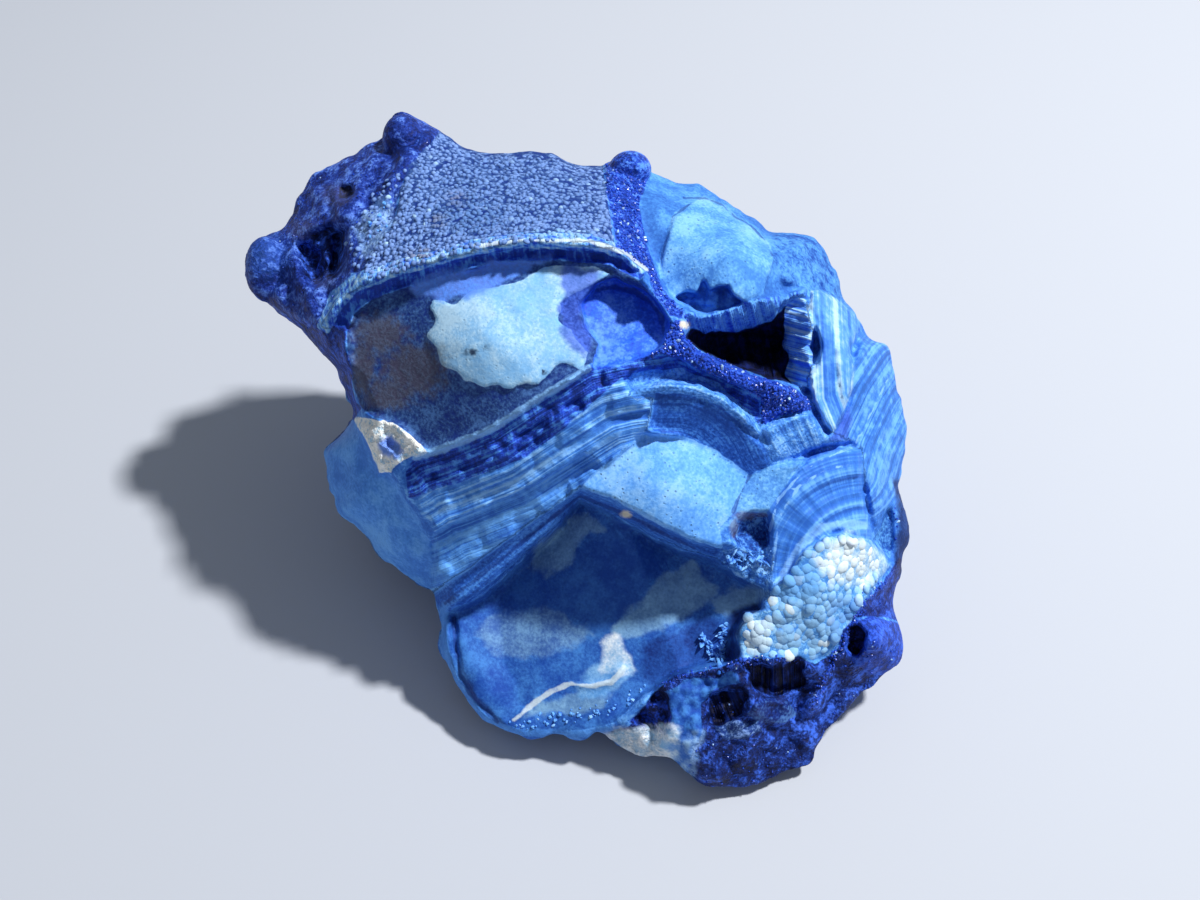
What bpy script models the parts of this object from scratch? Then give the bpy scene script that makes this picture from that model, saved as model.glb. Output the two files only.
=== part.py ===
"""An azurite specimen: one grown piece, modelled as one closed solid that rests on its flat broken base.

Its best face looks up and forward. That face is drawn on a plane square to the line of sight of a viewer
who looks at it 50 degrees down: u runs across the plane, v runs up it, and a height stands out of it toward
the eye, all in millimetres. The lift from the plane follows the sight lines, so that outlines stay true.
"""
import math

import bmesh
import bpy
import numpy as np

MM = 0.001
NODE_NAME = "azurite_specimen"

# Driving dimensions, in millimetres and degrees
EYE_ELEVATION = 50.0
EYE_DISTANCE = 150.0
FACE_CENTRE = (2.2, -1.0, 25.0)
BACK_CENTRE = (0.0, 2.0, 15.0)
BACK_RADII = (37.0, 29.0, 40.0)
BACK_BLEND = 1.2
FLOOR_ALLOWANCE = 3.0
LEAST_RISE = 0.6
LEAST_DROP = 1.5
THICKENING = 0.8
THICKENING_WIDTH = 7.0
THIN_PLATE_EASE = 2.0
GRAIN_SIZE = 0.45
SHARP_ANGLE = 32.0
BASE_TOLERANCE = 0.001

# Shares of the reach from the face's centre to its rim over which the surface turns down to the rim
RIM_ROUNDING = 0.12
BACK_ROUNDING = 0.4

# How finely the body is drawn first, the share of that ball given to the face, and what is kept of it
BALL_LEVELS = 7
FRONT_SHARE = 0.62
TARGET_TRIANGLES = 8600

# The outline of the face, clockwise from the knob at its left
OUTLINE = [
    (-35.5, 18.5), (-35.2, 20), (-34, 21.2), (-32.3, 22), (-31.2, 23.2), (-30, 25.8), (-28.8, 27.7), (-27, 28.2),
    (-23, 30.6), (-21.2, 31.6), (-21, 33.2), (-19, 33.6), (-17.2, 33), (-14.7, 30.5), (-12, 29.7), (-6, 29.7),
    (-3, 28.6), (0.3, 28.2), (1.7, 29.1), (3.8, 29.7), (5.2, 28.2), (7.5, 26.6), (10.2, 26.2), (14, 24), (17, 22),
    (20.8, 21.6), (22, 20.4), (23.6, 17.6), (24, 15), (26.2, 13.2), (27, 11.1), (28.7, 10.4), (29.8, 7),
    (30.4, 3), (30.4, 0), (29.8, -3), (31.1, -8.2), (30.6, -10.5), (29.7, -13.2), (29.8, -18.5), (30.4, -21),
    (28.5, -22.1), (25, -25.5), (22, -29), (21, -31.6), (17.5, -32.5), (13.7, -33.8), (9.5, -33.3), (7.2, -30.6),
    (4, -30.5), (0, -28.5), (-3, -28.8), (-8, -28.7), (-11, -27.6), (-13, -25.6), (-14.8, -22.8), (-15.8, -20),
    (-16, -17), (-16.8, -14), (-20, -12.5), (-24, -8.2), (-26, -6), (-27.1, -3.5), (-27.1, -0.5), (-24.6, 3.8),
    (-25.8, 7.2), (-28.5, 10.6), (-31.2, 13.4), (-33.5, 14.5), (-34.7, 15.5), (-35.3, 17)]

# How high the rim stands along the outline: (angle about the face's centre in degrees, height)
RIM_HEIGHTS = [
    (0, -8), (30, -9), (45, -8), (80, -6), (110, -6), (125, -9), (152, -10), (170, -7), (200, -10), (220, -8),
    (235, -6.5), (255, -3.5), (275, -2), (290, -1.5), (320, -5), (340, -8), (360, -8)]

# The broad swell of the face under its separate areas: (u, v, height)
SWELL = [
    (-22, 28, -3), (-10, 28, 0.5), (2, 27, 0), (-24, 17, 6.5), (-16, 19.5, 9.5), (-8, 21, 11), (0, 21, 11.5),
    (30, 0, -5), (30, -8, -5), (29.5, -13, -4), (28, -19, -3), (25, -24, -4), (21, -30, -3), (13, -33, -0.5),
    (3, -29.5, -0.5), (-8, -28, -3), (-15, -21, -4), (-16.5, -15, -3), (15, -15, 5), (5, 0, 9), (-10, 0, 8)]

# The areas of the face, laid over the swell in this order. Each has an outline, and either heights that its
# surface passes through or a step up or down. Its edge is half the width of the slope at its border.
AREAS = {
    "dark block": dict(
        outline=[(-40, 22), (-34, 12), (-27, 9.8), (-27.8, 12.5), (-26.5, 15), (-24.5, 16.8), (-24, 17.5),
                 (-22.5, 20.5), (-20.5, 23), (-20, 26), (-19, 28.5), (-15, 31), (-16, 36), (-30, 36)],
        heights=[(-33, 18, -6), (-30, 24, -6), (-27, 27, -6), (-20, 31, -5), (-22, 27, -1.5), (-24, 20, 3.5),
                 (-28, 14, 0), (-22, 23, 1.5)],
        edge=0.6),
    "pebbled shoulder": dict(
        outline=[(-19, 28.5), (-20, 26), (-20.5, 23), (-22.5, 20.5), (-24, 17.5), (-22.5, 17), (-16, 19.3),
                 (-10, 20.7), (0, 21), (1.5, 20.6), (1.2, 22), (0.4, 28), (0, 33), (-15, 33)],
        heights=[(-20, 27, 0.5), (-15, 29, -2), (-8, 29, -1), (0, 28, -0.5), (-18, 22, 6), (-10, 24, 6.5),
                 (-2, 24, 7), (-23, 17.2, 7), (-16, 19.5, 10), (-8, 21, 11.5), (0, 21, 11.5)],
        edge=0.5),
    "left dome": dict(
        outline=[(-24.5, 3.6), (-30, 2), (-30, -10), (-18, -18), (-16.8, -14), (-16.5, -10), (-18, -7),
                 (-19.3, -5), (-20.5, -3), (-22, -1), (-23.5, 1.5)],
        heights=[(-26, 0, -3), (-22.5, -1, 0), (-24, -6, -3), (-19.5, -5.5, 0.5), (-19, -10, -3), (-17.2, -13, -5)],
        edge=0.5),
    "vein corner": dict(
        outline=[(-24.8, 3.4), (-22, 2.9), (-21.3, 3.2), (-20.5, 2.6), (-18.5, 1.2), (-17.2, -0.2), (-18, -1),
                 (-18.8, -0.5), (-20.5, -1.5), (-20.9, -2.2), (-22, -2.2), (-23, 0), (-23.5, 1.2)],
        heights=[(-23, 2, 1), (-20.5, 2, 3), (-19, 0, 3.5), (-21.5, -2, 1)],
        edge=0.4),
    "lens": dict(
        outline=[(-25.2, 12), (-25.3, 10), (-24.6, 6), (-24, 4.5), (-22.5, 3.2), (-20.5, 2.7), (-19.5, 2),
                 (-17, -0.2), (-13, 1.2), (-8, 3.7), (-1, 8.6), (0.2, 9), (5.9, 10.3), (7, 12.5), (4, 17),
                 (1, 18.5), (-4, 19), (-11, 18.8), (-17, 17), (-22.5, 15.3), (-24.5, 13.8)],
        heights=[(-24, 9, 4), (-19, 3.5, 5.5), (-12, 2.5, 8.8), (-2, 8, 10.8), (-12, 10, 10.8), (-20, 14, 5.2),
                 (-12, 17.5, 7.6), (0, 18, 8.6), (-5, 13, 10.8), (5, 12, 10.5)],
        edge=0.45),
    "flake": dict(
        outline=[(-16.8, 15), (-15, 14.6), (-13, 15.6), (-9.5, 16.6), (-5.5, 18.2), (-0.5, 18.3), (0.8, 17.6),
                 (-2.5, 15.6), (-4, 14.6), (-4, 13.2), (-2.8, 11), (-1.1, 9.8), (-1.8, 8), (-4, 9), (-6, 6.6),
                 (-9.6, 6.2), (-14.6, 7.7), (-16.9, 10.2), (-17, 13)],
        step=0.35, edge=0.25),
    "small hollow": dict(
        outline=[(-0.3, 16.6), (1.5, 17.2), (3.5, 16.5), (5, 15.5), (6.3, 14), (7, 12.5), (6.3, 10.5), (5.2, 9.4),
                 (3, 8.7), (0, 7.9), (-0.8, 8.2), (-0.2, 10.6), (-1.4, 12.3), (-2, 14.6)],
        heights=[(0, 9, 9.2), (5, 10, 9.2), (-1, 14, 6.6), (2, 15, 5.8), (5.5, 12, 7.4), (2, 11.5, 7.4)],
        edge=0.5),
    "rim face": dict(
        outline=[(-25.3, 12), (-24.5, 13.8), (-22.5, 15.3), (-17, 17), (-11, 18.8), (-4, 19), (1, 18.5), (4, 17),
                 (4.7, 18), (1.5, 20), (-8, 20.6), (-16, 18.7), (-22, 16.9), (-26.2, 15), (-27.6, 12.5)],
        heights=[(-26, 13, 4), (-22, 16, 6), (-16, 18, 8), (-8, 19.8, 9.6), (0, 19.3, 9.8), (4, 17.4, 9)],
        edge=0.4),
    "dark band": dict(
        outline=[(-19.5, -2.2), (-18.5, -0.8), (-16, 0), (-11, 2), (-7, 4.6), (-1.2, 8.2), (2, 8.4), (4, 9.2),
                 (8, 9.5), (10, 8.2), (14, 6.3), (16, 5), (16.1, 2.2), (15.2, 3.5), (12, 6.6), (8, 8.2),
                 (3.5, 7.8), (0.3, 5.5), (-3.5, 2.2), (-7.5, -0.8), (-12, -2.6), (-19.3, -5)],
        heights=[(-19, -3, 3), (-12, -0.5, 7), (-7, 2, 9), (-2, 5.5, 10.6), (3, 8, 10.4), (9, 8.6, 8.6),
                 (15, 4.4, 7)],
        edge=0.5),
    "layered face": dict(
        outline=[(-18.5, -5.2), (-18, -6.5), (-17, -7), (-16.4, -9), (-16.8, -14.5), (-14, -12.6), (-8, -8.2),
                 (-2, -3.7), (0, -2), (1.5, -0.6), (4.7, 1.8), (6, 5.8), (3, 5.8), (2.2, 7.2), (-1.5, 4),
                 (-3.5, 2.2), (-7.5, -0.8), (-12, -2.6), (-17, -4.2)],
        heights=[(-18, -6, 2), (-16.5, -13, 0.5), (-12, -3, 5.8), (-13, -11, 2.5), (-7, -1, 8.2), (-6, -6, 5.6),
                 (-2, 2.5, 9.6), (-2, -3.5, 6.6), (4, 3, 9)],
        edge=0.4),
    "undercut wall": dict(
        outline=[(-16.8, -14.5), (-14, -12.6), (-8, -8.2), (-2, -3.8), (1, -4.9), (5, -7), (9.5, -9.3),
                 (12.2, -9.8), (13.5, -12.5), (11.5, -11), (9, -10.4), (5, -8.6), (1, -6.3), (-2, -5),
                 (-5, -8.5), (-8, -11.2), (-10.5, -13.5), (-13, -15.3), (-15.5, -16.5)],
        heights=[(-15.5, -15, -1.5), (-8, -9.8, 1.5), (-2, -4.4, 4.6), (5, -7.8, 4.5), (11.5, -10.4, 4)],
        edge=0.5),
    "bowl": dict(
        outline=[(-15.5, -16.3), (-15.6, -18), (-15, -21), (-13, -24.8), (-10.7, -27.4), (-6, -28.2), (-1, -27.9),
                 (1.5, -27.2), (4.5, -24.5), (8, -22.4), (11.5, -21.7), (13.2, -21), (14, -18), (16, -15.8),
                 (16.3, -13.8), (13.5, -12.5), (11.5, -11), (9, -10.4), (5, -8.6), (1, -6.3), (-2, -5),
                 (-5, -8.5), (-8, -11.2), (-10.5, -13.5), (-13, -15.3)],
        heights=[(-13, -18, -5), (-6, -12, -4), (0, -12, -1.5), (6, -12, 0.5), (12, -15, 1.5), (-9, -24, -6),
                 (0, -24, -3.8), (5, -21, -1), (-2, -17, -4.2), (-12, -25.5, -6), (12, -19.5, 0)],
        edge=0.7),
    "shelf": dict(
        outline=[(3, 5.4), (3.6, 6.6), (7, 7.3), (10, 7.1), (12.5, 5.9), (14.8, 3.9), (16.2, 2), (17, -0.2),
                 (16, 1), (13.5, 3.2), (10, 5.1), (8, 5.5), (6, 5.5)],
        heights=[(3, 5.8, 10.4), (8, 6.2, 10.6), (13, 4.8, 9.4), (16, 1.8, 7.8)],
        edge=0.35),
    "curved wall": dict(
        outline=[(5.6, 5.7), (8, 5.6), (10, 5.1), (12, 4.3), (13.5, 3.2), (16, 1), (16.8, -0.2), (17, -1.6),
                 (15, -2.5), (12, -0.4), (8.3, 1.4), (4.7, 1.9), (5.2, 3.8)],
        heights=[(6.5, 5.3, 9.6), (10, 4.7, 9.2), (13.3, 2.8, 8.2), (16.6, -0.6, 6.2), (4.9, 2, 7.8),
                 (10, 0.9, 6.6), (15, -2.3, 5.2)],
        edge=0.4),
    "platform": dict(
        outline=[(-2, -3.8), (0, -1.9), (3, 0.6), (4.6, 1.8), (8.2, 1.4), (11.5, 0), (15, -2.5), (14, -4.5),
                 (13.3, -6.2), (12, -7.8), (12.2, -9.8), (9.5, -9.2), (5, -7), (1, -4.8)],
        heights=[(-1, -3.6, 7), (1, -0.5, 7), (5, 1.6, 7), (10, 0.6, 6.5), (14, -2.5, 5.4), (5, -3.6, 9),
                 (12, -7.5, 6.8), (2.5, -5.5, 8), (9, -8.5, 7.6), (9, -4, 8.6)],
        edge=0.4),
    "second facet": dict(
        outline=[(15, -2.5), (17, -1.6), (20.5, -0.9), (18, -4.5), (16.8, -6.3), (13.5, -6.2), (14, -4.5)],
        heights=[(15, -3, 5.2), (20, -1.3, 5.4), (14, -6, 6), (16.5, -6, 5.6)],
        edge=0.4),
    "upper dome": dict(
        outline=[(0.4, 30), (1.2, 24), (1.5, 20.6), (4.7, 18), (5.8, 16.5), (7, 15.2), (9, 13.8), (10.5, 13.1),
                 (16, 14.5), (18.5, 14.6), (20, 15.2), (21, 16), (24.5, 15), (30, 20), (18, 32)],
        heights=[(13, 18.5, 7.5), (6, 18, 4.5), (6, 24, 2), (10, 26, -3), (14, 23.5, 0), (20, 20, -1),
                 (22, 17, -2), (16, 15, 6), (9, 15, 6.5), (2, 27, -1)],
        edge=0.5),
    "broken window": dict(
        outline=[(7.5, 15.1), (8.5, 15.8), (9.6, 15.7), (10.3, 16.7), (11, 16), (12.8, 16.5), (13.3, 15.5),
                 (14.3, 14.9), (13.9, 14.2), (10.5, 13.4)],
        step=-1.4, edge=0.25),
    "upper druse": dict(
        outline=[(0.4, 30), (0.6, 26), (1.4, 22), (1.5, 20.3), (4.7, 18), (5.5, 15.5), (7, 13.5), (9.3, 12.8),
                 (8, 14.3), (6.6, 15.6), (5.4, 18.3), (4.6, 21), (3.9, 24.5), (5.3, 28.5), (4.5, 31)],
        heights=[(2, 28, -0.5), (2.5, 24, 4), (3.5, 20, 7.8), (6, 15.5, 8.6), (8.5, 13.2, 8.8)],
        edge=0.4),
    "druse arm": dict(
        outline=[(4.6, 9.2), (6.3, 10.5), (7, 12.5), (8, 13.2), (8.6, 11.2), (10, 9.9), (12, 9.1), (14, 8.2),
                 (16, 7.3), (18, 6.8), (19.5, 6.2), (21, 5), (21.2, 4), (18, 3.4), (16.1, 2.4), (16, 5.2),
                 (14, 6.3), (12, 7.2), (10, 8), (8, 9.2), (6, 9.6)],
        heights=[(6, 10.3, 11), (7.6, 12.5, 10.2), (12, 8.3, 10.6), (16, 6.5, 9.4), (20, 5, 6.8), (17, 3.2, 7)],
        edge=0.4),
    "black hole": dict(
        outline=[(8.4, 11.2), (9.2, 12.2), (10.5, 11.9), (13, 12), (15.5, 12.6), (17.3, 13.2), (18.3, 14.3),
                 (20.5, 15), (21, 13), (21.3, 9), (21, 6.5), (19.4, 6.6), (17.3, 7), (15.5, 7.5), (14, 8.2),
                 (12, 9.1), (10, 9.9), (9, 10.8)],
        heights=[(9.5, 11, 3), (14, 10, -3.5), (18, 11, -4), (20.5, 10, 1), (17, 13, 1), (17, 8, -1)],
        edge=0.5),
    "ribbed block": dict(
        outline=[(21, 16), (21.8, 16), (24, 15), (26.2, 13.2), (25.3, 10.5), (25, 9.5), (25.7, 8.3), (25.3, 6),
                 (24.3, 3.2), (23.3, 1.4), (22.5, 2.5), (21.2, 5), (21, 7), (22, 10.3), (21.5, 12), (21, 14)],
        heights=[(21.5, 15, 3), (24, 14, 1.5), (25.3, 10, 1.5), (21.5, 6, 5.2), (23.3, 2, 5), (25, 5, 2.2),
                 (22, 10, 4.6)],
        edge=0.4),
    "right slab": dict(
        outline=[(25.8, 11.3), (34, 12), (34, -6), (28.5, -6), (27.5, -8), (27, -6), (26.2, -2), (26, 0),
                 (24.8, 0.9), (23.4, 1.2), (24.4, 3.4), (25.3, 6), (25.4, 8)],
        heights=[(25.8, 6.5, 0.5), (29.5, 5, -3.5), (30, -1, -5), (26.3, -3, 1.5), (28, -6.5, -2.5),
                 (28.5, 10, -3.5), (25.3, 2.5, 1)],
        edge=0.45),
    "ribbed rows": dict(
        outline=[(16.2, 2.2), (18, 3.2), (21, 4), (22.5, 1.8), (24.8, 0.9), (24, 0.6), (22, 0.2), (20, -0.6),
                 (17, -1.4), (17, -0.2)],
        heights=[(17, 1.6, 7.2), (21, 3, 6.2), (24.5, 0.9, 3.8), (18, -1, 5.2), (23, 0.6, 4)],
        edge=0.4),
    "fan": dict(
        outline=[(17, -8), (16.8, -6.3), (17.8, -4.6), (20.5, -0.9), (24, 0.3), (26, 0), (26.6, -6), (27.2, -9),
                 (24.5, -8.2), (22.5, -8.5), (20, -10.5), (19, -12.5), (17.5, -13.5), (17, -10)],
        heights=[(17.5, -8, 4.8), (20, -2.6, 5.4), (25, -0.6, 3), (22, -7, 4), (26.4, -6, 1), (18.5, -12, 3.4)],
        edge=0.4),
    "white patch": dict(
        outline=[(22.5, -8.5), (24.5, -8.2), (27.2, -9), (29, -11.5), (28, -13), (25.3, -17), (23.5, -20),
                 (21.5, -21.5), (20, -20.8), (14.5, -20.8), (13.5, -18.5), (14.5, -16.3), (17.2, -16),
                 (16.5, -15), (17.5, -13.5), (19, -12.5), (20, -10.5)],
        heights=[(24, -9, 3.6), (28.5, -12, -1.5), (18, -14.5, 4.2), (14, -17.5, 3.4), (20, -20.5, 2),
                 (24.5, -19, -0.5), (21.5, -14, 4.6), (17, -18.5, 4)],
        edge=0.5),
    "notch": dict(
        outline=[(13.3, -8.5), (14, -7), (15.2, -6.3), (16.5, -6.5), (17, -7.5), (17, -9.5), (16, -10.2),
                 (14, -9.9)],
        heights=[(13.5, -8, 1.5), (15.5, -7, 0), (16, -9.5, 1)],
        edge=0.5),
    "crumbled corner": dict(
        outline=[(12.3, -9.9), (14, -9.9), (16, -10.2), (17, -9.6), (17.3, -12.5), (17.5, -13.5), (16.5, -15),
                 (16.3, -13.8), (13.5, -12.5)],
        heights=[(12.8, -10.5, 4.2), (16.5, -10.5, 3), (15, -13, 2.2), (17, -13.5, 3)],
        edge=0.5),
    "dark ridge": dict(
        outline=[(5.9, -23.8), (7.5, -22.5), (9.5, -22.2), (13, -21.5), (14.5, -20.8), (20, -20.8), (21.5, -21.5),
                 (23.8, -20), (25, -18), (32, -20), (32, -24), (26, -30), (22, -36), (9, -36), (7, -31),
                 (0, -30), (0.2, -28.3), (2.8, -27.6)],
        heights=[(6.5, -25, 0.5), (11, -23, 2), (19, -22, 2), (20.5, -26, -2), (12, -27, 2.6), (15, -32, 0),
                 (8, -30, 1), (27, -20, -2), (25, -24, -3), (2, -29, -1)],
        edge=0.5),
    "teal recess": dict(
        outline=[(28.9, -5.6), (29.4, -7), (29.1, -10.7), (27.2, -9), (28, -7.7)],
        step=-1.2, edge=0.3),
    "block pit": dict(
        outline=[(-30.2, 20.3), (-29.3, 21.2), (-27, 22.3), (-25.6, 21.8), (-25.5, 19.5), (-26.5, 17.3),
                 (-28.5, 16.6), (-29.5, 17.6)],
        heights=[(-29.5, 20, -8), (-26.5, 21, -6.5), (-27, 18, -5)],
        edge=0.7),
    "small pit": dict(
        outline=[(-26.2, 25.2), (-26, 26.3), (-25, 26.5), (-24.6, 25.6), (-25.3, 25)],
        step=-2, edge=0.4),
}

# Raised lines along the face: (points, height, half width)
RIDGES = [
    ([(-18.5, -0.8), (-16, 0), (-11, 2), (-7, 4.6), (-1.2, 8.2)], 0.5, 0.55),
    ([(-24.5, 16.8), (-19.5, 18.4), (-12.5, 20.4), (-8, 21), (-1, 20.9), (2.5, 19.7)], 0.5, 0.5),
    ([(29.6, -4), (30.2, -8), (29.4, -12.5), (27, -14), (26, -16), (23.8, -20), (22, -24), (20.6, -27)], 1.1, 0.8),
    ([(-15.6, -17), (-15.4, -20), (-14.3, -23), (-11.6, -26.7), (-8, -28.2)], 1.2, 0.55),
    ([(5.9, -23.8), (7.5, -22.6), (9.5, -22.3), (13, -21.7), (14.5, -21), (20, -20.9)], 0.9, 0.7),
    ([(-30.5, 18), (-29.2, 15), (-28, 12.3), (-27, 9.8)], 0.9, 0.6),
]

# Lumps grown onto the face: (u, v, height of the centre, radii across and up, radius outward)
KNOBS = {
    "left knob": (-33.0, 18.1, -7.5, 2.7, 3.0, 3.2),
    "top knob": (-19.4, 31.4, -6.5, 2.0, 2.3, 3.0),
    "druse knob": (3.0, 28.0, -3.5, 2.2, 1.9, 3.2),
    "tube knob": (27.6, -19.6, -3.2, 2.9, 2.2, 3.0),
}
TUBE_MOUTH = dict(centre=(26.0, -19.0, -0.4), radius=0.8, depth=2.6)

# Domes on the hidden back: (world x, y, z of the centre, radius)
BACK_DOMES = [
    (-22, 19, 23, 12), (-7, 20, 11, 13.5), (8, 21.5, 19, 12), (20, 13, 12, 12.5), (-4, 20, 27, 11.5),
    (17, 13, 26, 12), (-17, 4, 12, 14), (24, 2, 14, 12)]


def clear_objects():
    for item in list(bpy.data.objects):
        bpy.data.objects.remove(item, do_unlink=True)


# The face's own directions in the world: across, up the plane and out of it toward the eye
TILT = math.radians(EYE_ELEVATION)
ACROSS = np.array([1.0, 0.0, 0.0])
UP_PLANE = np.array([0.0, math.sin(TILT), math.cos(TILT)])
TO_EYE = np.array([0.0, -math.cos(TILT), math.sin(TILT)])


def place(u, v, height):
    """World places, in millimetres, of points drawn at (u, v) and standing at a height off the plane."""
    spread = 1 - height / EYE_DISTANCE
    return (np.array(FACE_CENTRE) + np.multiply.outer(u * spread, ACROSS)
            + np.multiply.outer(v * spread, UP_PLANE) + np.multiply.outer(height, TO_EYE))


def ease(x):
    x = np.clip(x, 0, 1)
    return x * x * (3 - 2 * x)


def distance_to_line(u, v, points, closed=False):
    starts = points if closed else points[:-1]
    ends = points[1:] + points[:1] if closed else points[1:]
    nearest = np.full(u.shape, np.inf)
    for (start_u, start_v), (end_u, end_v) in zip(starts, ends):
        du, dv = end_u - start_u, end_v - start_v
        along = np.clip(((u - start_u) * du + (v - start_v) * dv) / (du * du + dv * dv), 0, 1)
        nearest = np.minimum(nearest, np.hypot(u - start_u - along * du, v - start_v - along * dv))
    return nearest


def depth_inside(u, v, outline):
    """Distance to an outline, positive inside it and negative outside."""
    within = np.zeros(u.shape, bool)
    for (start_u, start_v), (end_u, end_v) in zip(outline, outline[1:] + outline[:1]):
        if start_v != end_v:
            crossing = start_u + (v - start_v) * (end_u - start_u) / (end_v - start_v)
            within ^= ((start_v > v) != (end_v > v)) & (u < crossing)
    return np.where(within, 1, -1) * distance_to_line(u, v, outline, closed=True)


def thin_plate(u, v, heights):
    """A smooth surface through a few heights, as a thin plate bends over them."""
    fixed_u, fixed_v, fixed_height = np.array(heights, float).T
    count = len(heights)

    def bend(du, dv):
        squared = du * du + dv * dv + 1e-9
        return squared * np.log(squared)

    plane = np.column_stack([np.ones(count), fixed_u, fixed_v])
    system = np.zeros((count + 3, count + 3))
    system[:count, :count] = bend(fixed_u[:, None] - fixed_u, fixed_v[:, None] - fixed_v)
    system[:count, :count] += THIN_PLATE_EASE * np.eye(count)
    system[:count, count:] = plane
    system[count:, :count] = plane.T
    weights = np.linalg.solve(system, np.append(fixed_height, [0, 0, 0]))
    surface = weights[count] + weights[count + 1] * u + weights[count + 2] * v
    for k in range(count):
        surface = surface + weights[k] * bend(u - fixed_u[k], v - fixed_v[k])
    return surface


def face_height(u, v):
    height = thin_plate(u, v, SWELL)
    for area in AREAS.values():
        cover = ease(0.5 + depth_inside(u, v, area["outline"]) / (2 * area["edge"]))
        if "step" in area:
            height = height + cover * area["step"]
        else:
            height = height + cover * (thin_plate(u, v, area["heights"]) - height)
    for points, rise, half_width in RIDGES:
        height = height + rise * np.exp(-(distance_to_line(u, v, points) / half_width) ** 2)
    return height


def soft_lower(first, second):
    """The lower of two surfaces, with the crease between them softened."""
    return -BACK_BLEND * np.logaddexp(-first / BACK_BLEND, -second / BACK_BLEND)


def far_side(u, v, centre, radii):
    """Where sight lines leave an ellipsoid on its hidden side. Lines that miss it turn back at its middle."""
    start = (place(u, v, np.zeros_like(u)) - centre) / radii
    step = (place(u, v, np.ones_like(u)) - place(u, v, np.zeros_like(u))) / radii
    square = (step * step).sum(axis=1)
    middle = -(start * step).sum(axis=1) / square
    spread = middle * middle - ((start * start).sum(axis=1) - 1) / square
    return np.where(spread > 0, middle - np.sqrt(np.maximum(spread, 0)), np.inf)


def back_height(u, v):
    """The hidden side: a curved back grown over with domes, above a floor that is cut flat later."""
    back = far_side(u, v, BACK_CENTRE, BACK_RADII)
    for x, y, z, radius in BACK_DOMES:
        back = soft_lower(back, far_side(u, v, (x, y, z), (radius, radius, radius)))
    down = FACE_CENTRE[2] + FLOOR_ALLOWANCE + UP_PLANE[2] * v
    floor = -down / (TO_EYE[2] - UP_PLANE[2] * v / EYE_DISTANCE)
    return -soft_lower(-back, -floor)


def outline_radius(angle):
    """Distance from the face's centre to the outline, in the direction of each angle."""
    corners = np.array(OUTLINE, float)
    corners = corners[np.argsort(np.arctan2(corners[:, 1], corners[:, 0]))]
    corner_angles = np.arctan2(corners[:, 1], corners[:, 0])
    last = np.searchsorted(corner_angles, angle) % len(corners)
    side = corners[last] - corners[last - 1]
    crossed = corners[last, 0] * side[:, 1] - corners[last, 1] * side[:, 0]
    return crossed / (np.cos(angle) * side[:, 1] - np.sin(angle) * side[:, 0])


def wrap_body(directions):
    """Carry the points of a ball, given as directions (across, up, out), to the surface of the specimen."""
    angle = np.arctan2(directions[:, 1], directions[:, 0])
    from_front = np.arccos(np.clip(directions[:, 2], -1, 1)) / math.pi
    is_front = from_front <= FRONT_SHARE
    run = np.where(is_front, from_front / FRONT_SHARE, (1 - from_front) / (1 - FRONT_SHARE))
    reach = np.sin(run * math.pi / 2)
    radius = reach * outline_radius(angle)
    u, v = radius * np.cos(angle), radius * np.sin(angle)
    rim = np.interp(np.degrees(angle) % 360, *np.array(RIM_HEIGHTS, float).T)
    from_rim = np.minimum((1 - reach) * outline_radius(angle), THICKENING_WIDTH)
    front = np.maximum(face_height(u, v), rim + LEAST_RISE)
    back = np.minimum(back_height(u, v), rim - LEAST_DROP - THICKENING * from_rim)
    surface = np.where(is_front, front, back)
    rounding = np.where(is_front, RIM_ROUNDING, BACK_ROUNDING)
    turn = np.clip((reach - 1 + rounding) / rounding, 0, 1)
    return place(u, v, rim + (surface - rim) * np.sqrt(1 - turn * turn))


def add_ball(name, levels):
    mesh = bpy.data.meshes.new(name)
    ball = bmesh.new()
    bmesh.ops.create_icosphere(ball, subdivisions=levels, radius=1)
    ball.to_mesh(mesh)
    ball.free()
    item = bpy.data.objects.new(name, mesh)
    bpy.context.collection.objects.link(item)
    return item


def read_points(mesh):
    points = np.empty(len(mesh.vertices) * 3)
    mesh.vertices.foreach_get("co", points)
    return points.reshape(-1, 3)


def hide(item):
    item.hide_render = True
    item.display_type = "WIRE"


def apply_modifiers(body):
    evaluated = body.evaluated_get(bpy.context.evaluated_depsgraph_get())
    body.data = bpy.data.meshes.new_from_object(evaluated)
    body.modifiers.clear()


def fuse(body):
    """Grow the lumps into the body, so that no seam is left where they meet."""
    fused = body.modifiers.new("fused", "REMESH")
    fused.mode = "VOXEL"
    fused.voxel_size = GRAIN_SIZE * MM
    apply_modifiers(body)


def thin_out(body):
    """Keep the faces where the surface bends most."""
    thin = body.modifiers.new("fewer faces", "DECIMATE")
    thin.ratio = TARGET_TRIANGLES / sum(len(face.vertices) - 2 for face in body.data.polygons)
    apply_modifiers(body)


def cut_base(body):
    """Cut the body off at the floor, and close the cut as the flat base that it rests on."""
    mesh = bmesh.new()
    mesh.from_mesh(body.data)
    everything = mesh.verts[:] + mesh.edges[:] + mesh.faces[:]
    cut = bmesh.ops.bisect_plane(mesh, geom=everything, plane_co=(0, 0, 0), plane_no=(0, 0, 1), clear_inner=True)
    edges = [part for part in cut["geom_cut"] if isinstance(part, bmesh.types.BMEdge)]
    bmesh.ops.holes_fill(mesh, edges=edges)
    for corner in mesh.verts:
        if abs(corner.co.z) < BASE_TOLERANCE * MM:
            corner.co.z = 0
    bmesh.ops.recalc_face_normals(mesh, faces=mesh.faces)
    mesh.to_mesh(body.data)
    mesh.free()


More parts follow.
